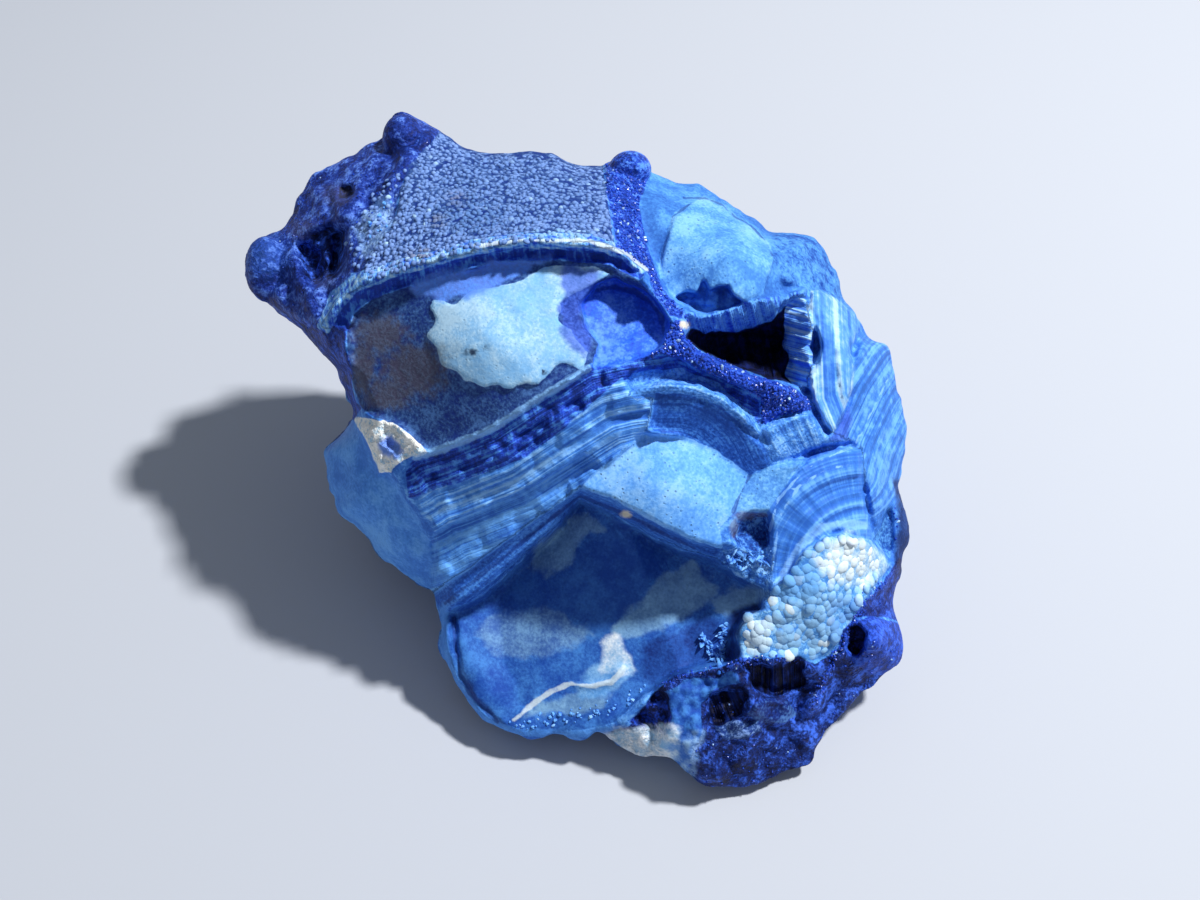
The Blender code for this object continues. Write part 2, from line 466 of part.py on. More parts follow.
def make_body():
    body = add_ball(NODE_NAME, BALL_LEVELS)
    shaped = wrap_body(read_points(body.data)) * MM
    body.data.vertices.foreach_set("co", shaped.ravel())
    body.data.update()
    return body


def join(body, other, operation):
    step = body.modifiers.new(other.name, "BOOLEAN")
    step.operation = operation
    step.solver = "EXACT"
    step.object = other
    hide(other)


def add_knobs(body):
    """The lumps on the face: balls stretched along the face's own directions."""
    for name, (u, v, height, across, up, out) in KNOBS.items():
        knob = add_ball(name, levels=3)
        stretched = read_points(knob.data) * [across, up, out]
        points = place(u, v, height) + stretched @ np.array([ACROSS, UP_PLANE, TO_EYE])
        knob.data.vertices.foreach_set("co", (points * MM).ravel())
        join(body, knob, "UNION")


def cut_tube_mouth(body):
    mouth = add_ball("tube mouth", levels=3)
    depth = TUBE_MOUTH["depth"]
    stretched = read_points(mouth.data) * [TUBE_MOUTH["radius"], TUBE_MOUTH["radius"], depth]
    points = place(*TUBE_MOUTH["centre"]) + stretched @ np.array([ACROSS, UP_PLANE, TO_EYE])
    mouth.data.vertices.foreach_set("co", (points * MM).ravel())
    join(body, mouth, "DIFFERENCE")


def azurite_material():
    material = bpy.data.materials.new("azurite")
    material.use_nodes = True
    shader = material.node_tree.nodes["Principled BSDF"]
    shader.inputs["Base Color"].default_value = (0.06, 0.2, 0.62, 1)
    shader.inputs["Roughness"].default_value = 0.7
    shader.inputs["Metallic"].default_value = 0.0
    return material


def main():
    clear_objects()
    body = make_body()
    add_knobs(body)
    cut_tube_mouth(body)
    fuse(body)
    thin_out(body)
    cut_base(body)
    body.data.materials.append(azurite_material())
    body.data.shade_smooth()
    body.data.set_sharp_from_angle(angle=math.radians(SHARP_ANGLE))


main()
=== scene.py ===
# Azurite specimen: the finish of a broken, banded azurite nodule, grown over with pebbled and drusy crusts.
# Its best face is drawn on a plane square to the sight line: u runs across, v up the plane, and a height
# stands out of it toward the eye, all in millimetres. place() carries such points into the world.
import math

import bpy
import numpy as np
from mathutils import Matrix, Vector


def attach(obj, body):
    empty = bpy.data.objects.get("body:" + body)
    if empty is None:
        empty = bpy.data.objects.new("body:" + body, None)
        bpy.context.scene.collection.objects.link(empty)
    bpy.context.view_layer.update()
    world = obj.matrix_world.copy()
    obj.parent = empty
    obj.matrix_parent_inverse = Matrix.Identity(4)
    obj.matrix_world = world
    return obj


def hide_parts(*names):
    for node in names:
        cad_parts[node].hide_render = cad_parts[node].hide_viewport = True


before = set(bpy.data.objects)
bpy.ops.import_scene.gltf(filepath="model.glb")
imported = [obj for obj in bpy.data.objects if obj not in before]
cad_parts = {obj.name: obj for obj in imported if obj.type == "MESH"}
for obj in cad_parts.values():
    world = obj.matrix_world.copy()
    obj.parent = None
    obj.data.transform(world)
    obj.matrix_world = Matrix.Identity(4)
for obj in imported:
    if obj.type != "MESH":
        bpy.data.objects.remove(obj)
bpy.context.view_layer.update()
mm = 0.001
node = "azurite_specimen"
rng = np.random.default_rng(11)

# The eye and the drawing plane
eyeElevation = math.radians(50.0)
eyeDistance = 150.0
faceCentre = np.array([2.2, -1.0, 25.0])
across = np.array([1.0, 0.0, 0.0])
upPlane = np.array([0.0, math.sin(eyeElevation), math.cos(eyeElevation)])
toEye = np.array([0.0, -math.cos(eyeElevation), math.sin(eyeElevation)])
faceAxes = np.array([across, upPlane, toEye])

body = dict(
    spokes=1150, frontRings=240, backRings=80, grain=0.2, triangles=196000,    # how finely it is drawn and kept
    hiddenDrop=2.0, backThinning=0.85,                                         # what is thinned out on the back
    rimRounding=0.12, backRounding=0.4, leastRise=0.6, leastDrop=1.5, thickening=0.8, thickeningWidth=7.0,
    backCentre=(0.0, 2.0, 15.0), backRadii=(37.0, 29.0, 40.0), backBlend=1.2, floorAllowance=3.0,
    cornerTurns=(-0.02, -0.012, -0.004, 0.004, 0.012, 0.02), edgeLumps=0.35, edgeLumpSize=2.2)

# The outline of the face, clockwise from the knob at its left
outline = [
    (-35.5, 18.5), (-35.2, 20), (-34, 21.2), (-32.3, 22), (-31.2, 23.2), (-30, 25.8), (-28.8, 27.7),
    (-27, 28.2), (-23, 30.6), (-21.2, 31.6), (-21, 33.2), (-19, 33.6), (-17.2, 33), (-14.7, 30.5),
    (-12, 29.7), (-6, 29.7), (-3, 28.6), (0.3, 28.2), (1.7, 29.1), (3.8, 29.7), (5.2, 28.2), (7.5, 26.6),
    (10.2, 26.2), (14, 24), (17, 22), (20.8, 21.6), (22, 20.4), (23.6, 17.6), (24, 15), (26.2, 13.2),
    (27, 11.1), (28.7, 10.4), (29.8, 7), (30.4, 3), (30.4, 0), (29.8, -3), (31.1, -8.2), (30.6, -10.5),
    (29.7, -13.2), (29.4, -17.2), (30.4, -18.8), (30.5, -20.4), (29.8, -21.8), (28.2, -22.6), (25, -25.5),
    (22, -29), (21, -31.6), (17.5, -32.5), (13.7, -33.8), (9.5, -33.3), (7.2, -30.6), (4, -30.5), (0, -28.5),
    (-3, -28.8), (-8, -28.7), (-11, -27.6), (-13, -25.6), (-14.8, -22.8), (-15.8, -20), (-16, -17),
    (-16.8, -14), (-20, -12.5), (-24, -8.2), (-26, -6), (-27.1, -3.5), (-27.1, -0.5), (-24.6, 3.8),
    (-25.8, 7.2), (-28.5, 10.6), (-31.2, 13.4), (-33.5, 14.5), (-34.7, 15.5), (-35.3, 17)]

# How high the rim stands along the outline: (angle about the face's centre in degrees, height)
rimHeights = [
    (0, -8), (30, -9), (45, -8), (80, -6), (110, -6), (125, -9), (152, -10), (170, -7), (200, -10), (220, -8),
    (235, -6.5), (255, -3.5), (275, -2), (290, -1.5), (320, -5), (340, -8), (360, -8)]

# The broad swell of the face under its separate areas: (u, v, height)
swell = [
    (-22, 28, -3), (-10, 28, 0.5), (2, 27, 0), (-24, 17, 6.5), (-16, 19.5, 9.5), (-8, 21, 11), (0, 21, 11.5),
    (30, 0, -5), (30, -8, -5), (29.5, -13, -4), (28, -19, -3), (25, -24, -4), (21, -30, -3), (13, -33, -0.5),
    (3, -29.5, -0.5), (-8, -28, -3), (-15, -21, -4), (-16.5, -15, -3), (15, -15, 5), (5, 0, 9), (-10, 0, 8)]

# Named courses along the face: what its layers and fibres follow, and its seams and cracks
ridgeLine = [(-19.5, -1.6), (-18.5, -0.8), (-16, 0), (-11, 2), (-7, 4.6), (-1.2, 8.2), (2, 9), (8, 9.8),
             (16, 6)]
rimLine = [(-27.8, 12), (-26.2, 15), (-24.5, 16.8), (-19.5, 18.4), (-12.5, 20.4), (-8, 21), (-1, 20.9),
           (2.5, 19.7), (4.7, 18)]
shelfLine = [(2.6, 7), (5, 7.3), (9, 7.3), (12.5, 6), (15, 3.8), (16.4, 1.8), (17.2, 0)]
slabLine = [(24.6, -2), (25.4, 1), (27.5, 5.5), (29.5, 8.5)]
blockLine = [(20.8, 16.5), (21.2, 9), (21.4, 5), (23, 1)]
domeLine = [(6.5, 27), (3.6, 24.5), (4.8, 20.5), (5.9, 16.2)]
bowlRim = [(-15.2, -16), (-15.2, -20), (-14.2, -23), (-11.6, -26.6), (-8, -28), (-2, -28), (2.5, -26.4),
           (6, -23.4)]
wallEdge = [(-16.4, -15.4), (-8, -8.4), (-2, -3.8), (2.5, -5.7), (7, -8), (11.3, -10)]
fanCentre = [(26.5, -12.2), (26.7, -12.4)]
hollowCentre = [(1.6, 12.2), (1.8, 12.4)]
rimFibres = [(-27, 12), (4, 19)]
lipFibres = [(9, 12), (20.5, 15)]
brushFibres = [(18, 5), (21, 16)]
slotFibres = [(14, -22), (21, -22)]
lowFibres = [(10, -26), (15, -24)]
rightSeam = [(29.6, -4), (30.2, -8), (29.4, -12.5), (27, -14), (26, -16), (23.8, -20), (22, -24), (20.6, -27)]
ridgeSeam = [(5.9, -23.8), (7.5, -22.6), (9.5, -22.3), (13, -21.7), (14.5, -21), (20, -20.9)]
creamSeam = [(2.4, -21.8), (1.2, -23.2), (-0.8, -23.6), (-3, -23.4), (-5, -24.2), (-6.5, -25.3), (-8.6, -27)]
shellGap = [(-14.6, -16.8), (-14.5, -19.5), (-14, -22.4), (-12.5, -25), (-10.2, -27.2)]
domeCrack = [(8.3, 25.2), (10.5, 25.2), (12.3, 24.5), (13.5, 23.3), (15, 22.5), (16.5, 21), (17.2, 19.5)]
domeStep = [(9, 24.6), (7.2, 23.3), (6.8, 21.6), (6.2, 19.6), (5.9, 17.2)]
facetCrease = [(15, -2.5), (14, -4.5), (13.3, -6.2)]

# Borders that two areas share
blockBorder = [(-24, 17.5), (-22.5, 20.5), (-20.5, 23), (-20, 26), (-19, 28.5)]
lensTop = [(4, 17), (1, 18.5), (-4, 19), (-11, 18.8), (-17, 17), (-22.5, 15.3), (-24.5, 13.8)]
wallFoot = [(13.5, -12.5), (11.5, -11), (9, -10.4), (5, -8.6), (1, -6.3), (-2, -5), (-5, -8.5), (-8, -11.2),
            (-10.5, -13.5), (-13, -15.3)]
shellTeeth = [(8.5, 15.8), (9.6, 15.7), (10.3, 16.7), (11, 16), (12.8, 16.5), (13.3, 15.5), (14.3, 14.9)]

# The areas of the face, laid over the swell in this order. Each has an outline, and either heights that its
# surface passes through or a step up or down. Its edge is half the width of the slope at its border.
areas = {
    "ground": dict(outline=[(-45, -45), (45, -45), (45, 45), (-45, 45)], step=0, edge=0.5),
    "darkBlock": dict(
        outline=[(-40, 22), (-34, 12), (-27, 9.8), (-27.8, 12.5), (-26.5, 15), (-24.5, 16.8), *blockBorder,
                 (-15, 31), (-16, 36), (-30, 36)],
        heights=[(-33, 18, -6), (-30, 24, -6), (-27, 27, -6), (-20, 31, -5), (-22, 27, -1.5), (-24, 20, 3.5),
                 (-28, 14, 0), (-22, 23, 1.5)],
        edge=0.6),
    "pebbledShoulder": dict(
        outline=[*blockBorder[::-1], (-22.5, 17), (-16, 19.3), (-10, 20.7), (0, 21), (1.5, 20.6), (1.2, 22),
                 (0.4, 28), (0, 33), (-15, 33)],
        heights=[(-20, 27, 0.5), (-15, 29, -2), (-8, 29, -1), (0, 28, -0.5), (-18, 22, 6), (-10, 24, 6.5),
                 (-2, 24, 7), (-23, 17.2, 7), (-16, 19.5, 10), (-8, 21, 11.5), (0, 21, 11.5)],
        edge=0.5),
    "leftDome": dict(
        outline=[(-24.5, 3.6), (-30, 2), (-30, -10), (-18, -18), (-16.8, -14), (-16.5, -10), (-18, -7),
                 (-19.3, -5), (-20.5, -3), (-22, -1), (-23.5, 1.5)],
        heights=[(-26, 0, -3), (-22.5, -1, 0), (-24, -6, -3), (-19.5, -5.5, 0.5), (-19, -10, -3),
                 (-17.2, -13, -5)],
        edge=0.5),
    "veinCorner": dict(
        outline=[(-24.8, 3.4), (-22, 2.9), (-21.3, 3.2), (-20.5, 2.6), (-18.5, 1.2), (-17.2, -0.2), (-18, -1),
                 (-18.8, -0.5), (-20.5, -1.5), (-20.9, -2.2), (-22, -2.2), (-23, 0), (-23.5, 1.2)],
        heights=[(-23, 2, 3.4), (-20.5, 2, 5.4), (-19, 0, 5.4), (-21.5, -2, 3)],
        edge=0.4),
    "lens": dict(
        outline=[(-25.2, 12), (-25.3, 10), (-24.6, 6), (-24, 4.5), (-22.5, 3.2), (-20.5, 2.7), (-19.5, 2),
                 (-17, -0.2), (-13, 1.2), (-8, 3.7), (-1, 8.6), (0.2, 9), (5.9, 10.3), (7, 12.5), *lensTop],
        heights=[(-24, 9, 4), (-19, 3.5, 5.5), (-12, 2.5, 8.8), (-2, 8, 10.8), (-12, 10, 10.8),
                 (-20, 14, 6.4), (-12, 17.5, 9.2), (0, 18, 10), (-5, 13, 10.8), (5, 12, 10.5)],
        edge=0.45),
    "flake": dict(
        outline=[(-16.8, 15), (-15, 14.6), (-13, 15.6), (-9.5, 16.6), (-5.5, 18.2), (-0.5, 18.3), (0.8, 17.6),
                 (-2.5, 15.6), (-4, 14.6), (-4, 13.2), (-2.8, 11), (-1.1, 9.8), (-1.8, 8), (-4, 9), (-6, 6.6),
                 (-9.6, 6.2), (-13.4, 6.9), (-14.4, 7.8), (-15.8, 8.6), (-16.2, 9.9), (-17.2, 11.4),
                 (-16.6, 13)],
        step=0.35, edge=0.15, wear=0.3),
    "smallHollow": dict(
        outline=[(-0.3, 16.6), (1.5, 17.2), (3.5, 16.5), (5, 15.5), (6.3, 14), (7, 12.5), (6.3, 10.5),
                 (5.2, 9.4), (3, 8.7), (0, 7.9), (-0.8, 8.2), (-0.2, 10.6), (-1.4, 12.3), (-2, 14.6)],
        heights=[(0, 9, 9.8), (5, 10, 9.4), (-1, 14, 8.2), (2, 15, 7.4), (5.5, 12, 8), (2, 11.5, 8.6)],
        edge=0.25),
    "rimFace": dict(
        outline=[(-25.3, 12), *lensTop[::-1], (4.7, 18), (1.5, 20), (-8, 20.6), (-16, 18.7), (-22, 16.9),
                 (-26.2, 15), (-27.6, 12.5)],
        heights=[(-26, 13, 4), (-22, 16, 6.4), (-16, 18, 8.6), (-8, 19.8, 9.8), (0, 19.3, 10), (4, 17.4, 9)],
        edge=0.4),
    "leftRim": dict(
        outline=[(-32, 13.6), (-27.6, 12.4), (-25.6, 12.2), (-25.3, 10), (-24.7, 6), (-23.9, 4.2), (-24.6, 3),
                 (-28, 6), (-31, 10)],
        heights=[(-25.6, 11, 4.4), (-24.8, 7, 4), (-24.4, 4, 3), (-27.6, 11, 1), (-26, 7, 1.4),
                 (-30, 13, -2)],
        edge=0.4, wear=0.25),
    "rimLip": dict(
        outline=[(-28.4, 12.3), (-27, 15.6), (-24.9, 17.6), (-19.7, 19.2), (-12.6, 21.1), (-8, 21.7),
                 (-0.9, 21.6), (2.9, 20.3), (5, 18.3), (4.2, 17.5), (2.1, 19.1), (-1.1, 20.1), (-8, 20.2),
                 (-12.3, 19.6), (-19.2, 17.7), (-24, 16), (-25.6, 14.4), (-27.2, 11.7)],
        step=0.3, edge=0.25),
    "undercutGap": dict(
        outline=[(1.6, 6.4), (1.8, 8.6), (8, 9.4), (12, 8), (16.5, 5.4), (17, 1), (14, 2.8), (10, 4.6),
                 (6, 5.2), (3, 5)],
        heights=[(3, 7, 9.2), (8, 7.6, 8.4), (13, 5.6, 7.4), (16, 2.6, 6.4)],
        edge=0.3),
    "darkBand": dict(
        outline=[(-19.5, -2.2), *ridgeLine[1:6], (2, 8.4), (4, 9.2), (8, 9.5), (10, 8.2), (14, 6.3), (16, 5),
                 (16.1, 2.2), (15.2, 3.5), (12, 6.6), (8, 8.2), (3.5, 7.8), (0.3, 5.5), (-3.5, 2.2),
                 (-7.5, -0.8), (-12, -2.6), (-19.3, -5)],
        heights=[(-19, -3, 3), (-12, -0.5, 7), (-7, 2, 9), (-2, 5.5, 10.6), (3, 8, 10.4), (9, 8.6, 8.6),
                 (15, 4.4, 7)],
        edge=0.5),
    "layeredFace": dict(
        outline=[(-18.5, -5.2), (-18, -6.5), (-17, -7), (-16.4, -9), (-16.8, -14.5), (-14, -12.6), (-8, -8.2),
                 (-2, -3.7), (0, -2), (1.5, -0.6), (4.7, 1.8), (6, 5.8), (3, 5.8), (2.2, 7.2), (-1.5, 4),
                 (-3.5, 2.2), (-7.5, -0.8), (-12, -2.6), (-17, -4.2)],
        heights=[(-18, -6, 2), (-16.5, -13, 0.5), (-12, -3, 5.8), (-13, -11, 2.5), (-7, -1, 8.2),
                 (-6, -6, 5.6), (-2, 2.5, 9.6), (-2, -3.5, 6.6), (4, 3, 9)],
        edge=0.4),
    "lowerLayers": dict(
        outline=[(-16.8, -8.4), (-14.4, -7), (-10, -5), (-5.6, -3), (-1.6, -0.2), (0, -1.6), (-2, -3.8),
                 (-8, -8.3), (-14, -12.8), (-17, -14.8)],
        step=-0.9, edge=0.15),
    "undercutWall": dict(
        outline=[(-16.8, -14.5), (-14, -12.6), (-8, -8.2), (-2, -3.8), (1, -4.9), (5, -7), (9.5, -9.3),
                 (12.2, -9.8), *wallFoot, (-15.5, -16.5)],
        heights=[(-15.5, -15, -1.5), (-8, -9.8, 1.5), (-2, -4.4, 4.6), (5, -7.8, 4.5), (11.5, -10.4, 4)],
        edge=0.5),
    "bowl": dict(
        outline=[(-15.5, -16.3), (-15.6, -18), (-15, -21), (-13, -24.8), (-10.7, -27.4), (-6, -28.2),
                 (-1, -27.9), (1.5, -27.2), (4.5, -24.5), (8, -22.4), (11.5, -21.7), (13.2, -21), (14, -18),
                 (16, -15.8), (16.3, -13.8), *wallFoot],
        heights=[(-13, -18, -3.8), (-6, -12, -6), (0, -11, -5), (6, -12, -3), (12, -15, -0.6),
                 (-9, -24, -3.8), (0, -24, -1.8), (5, -21, -1.6), (-2, -16, -5.4), (1, -20.5, -1.8),
                 (-6, -17, -6), (-12, -25.5, -3.2), (12, -19.5, -0.6)],
        edge=0.7),
    "shelf": dict(
        outline=[(3, 5.4), (3.6, 6.3), (7, 6.9), (10, 6.6), (12.5, 5.5), (14.8, 3.6), (16.2, 1.8), (17, -0.2),
                 (16, 1), (13.5, 3.2), (10, 5.1), (8, 5.5), (6, 5.5)],
        heights=[(3, 5.8, 10.4), (8, 6.2, 10.6), (13, 4.8, 9.4), (16, 1.8, 7.8)],
        edge=0.35),
    "curvedWall": dict(
        outline=[(5.6, 5.7), (8, 5.6), (10, 5.1), (12, 4.3), (13.5, 3.2), (16, 1), (16.8, -0.2), (17, -1.6),
                 (15, -2.5), (12, -0.4), (8.3, 1.4), (4.7, 1.9), (5.2, 3.8)],
        heights=[(6.5, 5.3, 9.6), (10, 4.7, 9.2), (13.3, 2.8, 8.2), (16.6, -0.6, 6.2), (4.9, 2, 7.8),
                 (10, 0.9, 6.6), (15, -2.3, 5.2)],
        edge=0.4),
    "platform": dict(
        outline=[(-2, -3.8), (0, -1.9), (3, 0.6), (4.6, 1.8), (8.2, 1.4), (11.5, 0), (15, -2.5), (14, -4.5),
                 (13.3, -6.2), (12, -7.8), (12.2, -9.8), (9.5, -9.2), (5, -7), (1, -4.8)],
        heights=[(-1, -3.6, 7), (1, -0.5, 7), (5, 1.6, 7), (10, 0.6, 6.5), (14, -2.5, 5.4), (5, -3.6, 9),
                 (12, -7.5, 6.8), (2.5, -5.5, 8), (9, -8.5, 7.6), (9, -4, 8.6)],
        edge=0.4),
    "secondFacet": dict(
        outline=[(15, -2.5), (17, -1.6), (20.5, -0.9), (18, -4.5), (16.8, -6.3), (13.5, -6.2), (14, -4.5)],
        heights=[(15, -3, 5.2), (20, -1.3, 5.4), (14, -6, 6), (16.5, -6, 5.6)],
        edge=0.4),
    "upperDome": dict(
        outline=[(0.4, 30), (1.2, 24), (1.5, 20.6), (4.7, 18), (5.8, 16.5), (7, 15.2), (9, 13.8),
                 (10.5, 13.1), (16, 14.5), (18.5, 14.6), (20, 15.2), (21, 16), (24.5, 15), (30, 20),
                 (18, 32)],
        heights=[(13, 18.5, 7.5), (6, 18, 4.5), (6, 24, 2), (10, 26, -3), (14, 23.5, 0), (20, 20, -1),
                 (22, 17, -2), (16, 15, 6), (9, 15, 6.5), (2, 27, -1)],
        edge=0.5),
    "domeShell": dict(
        outline=[*domeStep, (7.5, 15.4), *shellTeeth, (16.4, 15.4), (16.8, 17.5), (17.2, 19.5), (16.5, 21),
                 (15, 22.5), (13.5, 23.4), (12.3, 24.6), (10.5, 25.4)],
        step=0.55, edge=0.12, wear=0.25),
    "roughKnob": dict(
        outline=[(17.3, 22.5), (17.8, 21), (17.5, 19), (18.2, 17), (20, 15.6), (24.5, 15), (30, 20),
                 (22, 26)],
        step=0.4, edge=0.4, wear=0.3),
    "brokenWindow": dict(
        outline=[(7.5, 15.1), *shellTeeth, (13.9, 14.2), (10.5, 13.4)],
        step=-1.5, edge=0.15, wear=0.3),
    "upperDruse": dict(
        outline=[(0.4, 30), (0.6, 26), (1.4, 22), (1.5, 20.3), (4.7, 18), (5.5, 15.5), (7, 13.5), (9.3, 12.8),
                 (8, 14.3), (6.6, 15.6), (5.4, 18.3), (4.6, 21), (3.9, 24.5), (5.3, 28.5), (4.5, 31)],
        heights=[(2, 28, -0.5), (2.5, 24, 4), (3.5, 20, 7.8), (6, 15.5, 8.6), (8.5, 13.2, 8.8)],
        edge=0.4),
    "druseArm": dict(
        outline=[(4.6, 9.2), (6.3, 10.5), (7, 12.5), (8, 13.2), (8.6, 11.2), (10, 9.9), (12, 9.1), (14, 8.2),
                 (16, 7.3), (18, 6.8), (19.5, 6.2), (21, 5), (21.2, 4), (18, 3.4), (16.1, 2.4), (16, 5.2),
                 (14, 6.3), (12, 7.2), (10, 8), (8, 9.2), (6, 9.6)],
        heights=[(6, 10.3, 11), (7.6, 12.5, 10.2), (12, 8.3, 10.6), (16, 6.5, 9.4), (20, 5, 6.8),
                 (17, 3.2, 7)],
        edge=0.4),
    "blackHole": dict(
        outline=[(8.4, 11.2), (9.2, 12.2), (10.5, 11.9), (13, 12), (15.5, 12.6), (17.3, 13.2), (18.3, 14.3),
                 (20.5, 15), (21, 13), (21.3, 9), (21, 6.5), (19.4, 6.6), (17.3, 7), (15.5, 7.5), (14, 8.2),
                 (12, 9.1), (10, 9.9), (9, 10.8)],
        heights=[(9.5, 11, 3), (14, 10, -3.5), (18, 11, -4), (20.5, 10, 1), (17, 13, 1), (17, 8, -1)],
        edge=0.5),
    "holeLip": dict(
        outline=[(8.3, 13.9), (10.5, 13.5), (13, 14.3), (16, 15.2), (18.5, 15.2), (20.6, 16.3), (20.9, 15.1),
                 (18.3, 14.2), (17.3, 13.1), (15.5, 12.5), (13, 11.9), (10.5, 11.8), (9, 12.3)],
        heights=[(9, 13, 8.4), (13, 13.4, 6.6), (17, 14.2, 4.8), (20, 15.4, 3), (13, 12, 4.6), (17, 13.2, 3)],
        edge=0.3, wear=0.3),
    "holeBrush": dict(
        outline=[(18.3, 14.3), (20.5, 15.2), (21.3, 13), (21.4, 9), (21.2, 6.4), (19.4, 6.4), (18.5, 7.4),
                 (18.7, 9.5), (18.2, 11.5)],
        heights=[(18.6, 13, 1), (20.8, 14.5, 3), (18.9, 8, 0.8), (21, 7, 4.2), (21, 11, 3.4)],
        edge=0.5, wear=0.3),
    "ribbedBlock": dict(
        outline=[(21, 16), (21.8, 16), (24, 15), (26.2, 13.2), (25.3, 10.5), (25, 9.5), (25.7, 8.3),
                 (25.3, 6), (24.3, 3.2), (23.3, 1.4), (22.5, 2.5), (21.2, 5), (21, 7), (22, 10.3), (21.5, 12),
                 (21, 14)],
        heights=[(21.5, 15, 3), (24, 14, 1.5), (25.3, 10, 1.5), (21.5, 6, 5.2), (23.3, 2, 5), (25, 5, 2.2),
                 (22, 10, 4.6)],
        edge=0.4),
    "rightSlab": dict(
        outline=[(25.8, 11.3), (34, 12), (34, -6), (28.5, -6), (27.5, -8), (27, -6), (26.2, -2), (26, 0),
                 (24.8, 0.9), (23.4, 1.2), (24.4, 3.4), (25.3, 6), (25.4, 8)],
        heights=[(25.8, 6.5, 0.5), (29.5, 5, -3.5), (30, -1, -5), (26.3, -3, 1.5), (28, -6.5, -2.5),
                 (28.5, 10, -3.5), (25.3, 2.5, 1)],
        edge=0.45),
    "ribbedRows": dict(
        outline=[(16.2, 2.2), (18, 3.2), (21, 4), (22.5, 1.8), (24.8, 0.9), (24, 0.6), (22, 0.2), (20, -0.6),
                 (17, -1.4), (17, -0.2)],
        heights=[(17, 1.6, 7.2), (21, 3, 6.2), (24.5, 0.9, 3.8), (18, -1, 5.2), (23, 0.6, 4)],
        edge=0.4),
    "fan": dict(
        outline=[(17, -8), (16.8, -6.3), (17.8, -4.6), (20.5, -0.9), (24, 0.3), (26, 0), (26.6, -6),
                 (27.2, -9), (24.5, -8.2), (22.5, -8.5), (20, -10.5), (19, -12.5), (17.5, -13.5), (17, -10)],
        heights=[(17.5, -8, 4.8), (20, -2.6, 5.4), (25, -0.6, 3), (22, -7, 4), (26.4, -6, 1),
                 (18.5, -12, 3.4)],
        edge=0.4),
    "whitePatch": dict(
        outline=[(22.5, -8.5), (24.5, -8.2), (27.2, -9), (29, -11.5), (28, -13), (25.3, -17), (23.5, -20),
                 (21.5, -21.5), (20, -20.8), (14.5, -20.8), (13.5, -18.5), (14.5, -16.3), (17.2, -16),
                 (16.5, -15), (17.5, -13.5), (19, -12.5), (20, -10.5)],
        heights=[(24, -9, 3.6), (28.5, -12, -1.5), (18, -14.5, 4.2), (14, -17.5, 3.4), (20, -20.5, 2),
                 (24.5, -19, -0.5), (21.5, -14, 4.6), (17, -18.5, 4)],
        edge=0.5),
    "notch": dict(
        outline=[(13.3, -8.5), (14, -7), (15.2, -6.3), (16.5, -6.5), (17, -7.5), (17, -9.5), (16, -10.2),
                 (14, -9.9)],
        heights=[(13.5, -8, 4), (15.5, -7, 3), (16, -9.5, 3)],
        edge=0.5),
    "crumbledCorner": dict(
        outline=[(12.3, -9.9), (14, -9.9), (16, -10.2), (17, -9.6), (17.3, -12.5), (17.5, -13.5), (16.5, -15),
                 (16.3, -13.8), (13.5, -12.5)],
        heights=[(12.8, -10.5, 4.2), (16.5, -10.5, 3), (15, -13, 2.2), (17, -13.5, 3)],
        edge=0.5),
    "darkRidge": dict(
        outline=[(5.9, -23.8), (7.5, -22.5), (9.5, -22.2), (13, -21.5), (14.5, -20.8), (20, -20.8),
                 (21.5, -21.5), (23.8, -20), (25, -18), (32, -20), (32, -24), (26, -30), (22, -36), (9, -36),
                 (7, -31), (0, -30), (0.2, -28.3), (2.8, -27.6)],
        heights=[(6.5, -25, 0.5), (11, -23, 2), (19, -22, 2), (20.5, -26, -2), (12, -27, 2.6), (15, -32, 0),
                 (8, -30, 1), (27, -20, -2), (25, -24, -3), (2, -29, -1)],
        edge=0.5),
    "blackSlot": dict(
        outline=[(14.6, -21.4), (20.6, -21.4), (20.8, -23.6), (18, -24.3), (15.4, -23.9)],
        step=-1.5, edge=0.4, wear=0.45),
    "eyeLens": dict(
        outline=[(14.6, -26.4), (15.6, -25.3), (17.2, -24.8), (18.9, -25.2), (19.8, -26.4), (18.6, -27.4),
                 (16, -27.4)],
        step=0.9, edge=0.5),
    "lilacShelf": dict(
        outline=[(11.6, -27.7), (13.6, -26.8), (15.4, -27.4), (16.6, -28.2), (14, -28.9), (12.2, -29)],
        step=0.7, edge=0.25, wear=0.3),
    "lowHollow": dict(
        outline=[(10.8, -24.2), (12.8, -23.8), (14.6, -24.6), (14.2, -26.6), (12.4, -27.4), (10.8, -27)],
        step=-1.2, edge=0.4, wear=0.45),
    "skyCrust": dict(
        outline=[(6.2, -24.2), (8.4, -23), (11.5, -22.5), (13.6, -22.3), (14.2, -23.3), (11.6, -24.2),
                 (10.2, -25.4), (10.2, -27.8), (9.6, -30), (8.4, -32.8), (7, -31.4), (6, -29), (7.4, -26.8)],
        step=0.3, edge=0.3, wear=0.35),
    "purpleWedge": dict(
        outline=[(2.6, -27.4), (4.5, -25.5), (6, -23.8), (6.8, -24.4), (7.1, -26.8), (6, -28.2),
                 (4.6, -27.5)],
        step=-0.7, edge=0.2, wear=0.2),
    "sideCrust": dict(
        outline=[(28.9, -12.2), (30, -11), (33, -12), (33, -18), (29, -17), (27, -16.6), (25.6, -17),
                 (24.6, -18.4), (23.8, -20), (24.4, -18), (25.4, -16.8), (27.4, -14)],
        heights=[(29, -13.5, -2.6), (27.4, -15.6, -2), (25.4, -17.6, -1), (30, -16, -4)],
        edge=0.4, wear=0.25),
    "tubeBall": dict(
        outline=[(24.7, -18.2), (25.6, -17), (27.2, -16.6), (29, -17), (31.5, -18), (31.5, -21.5),
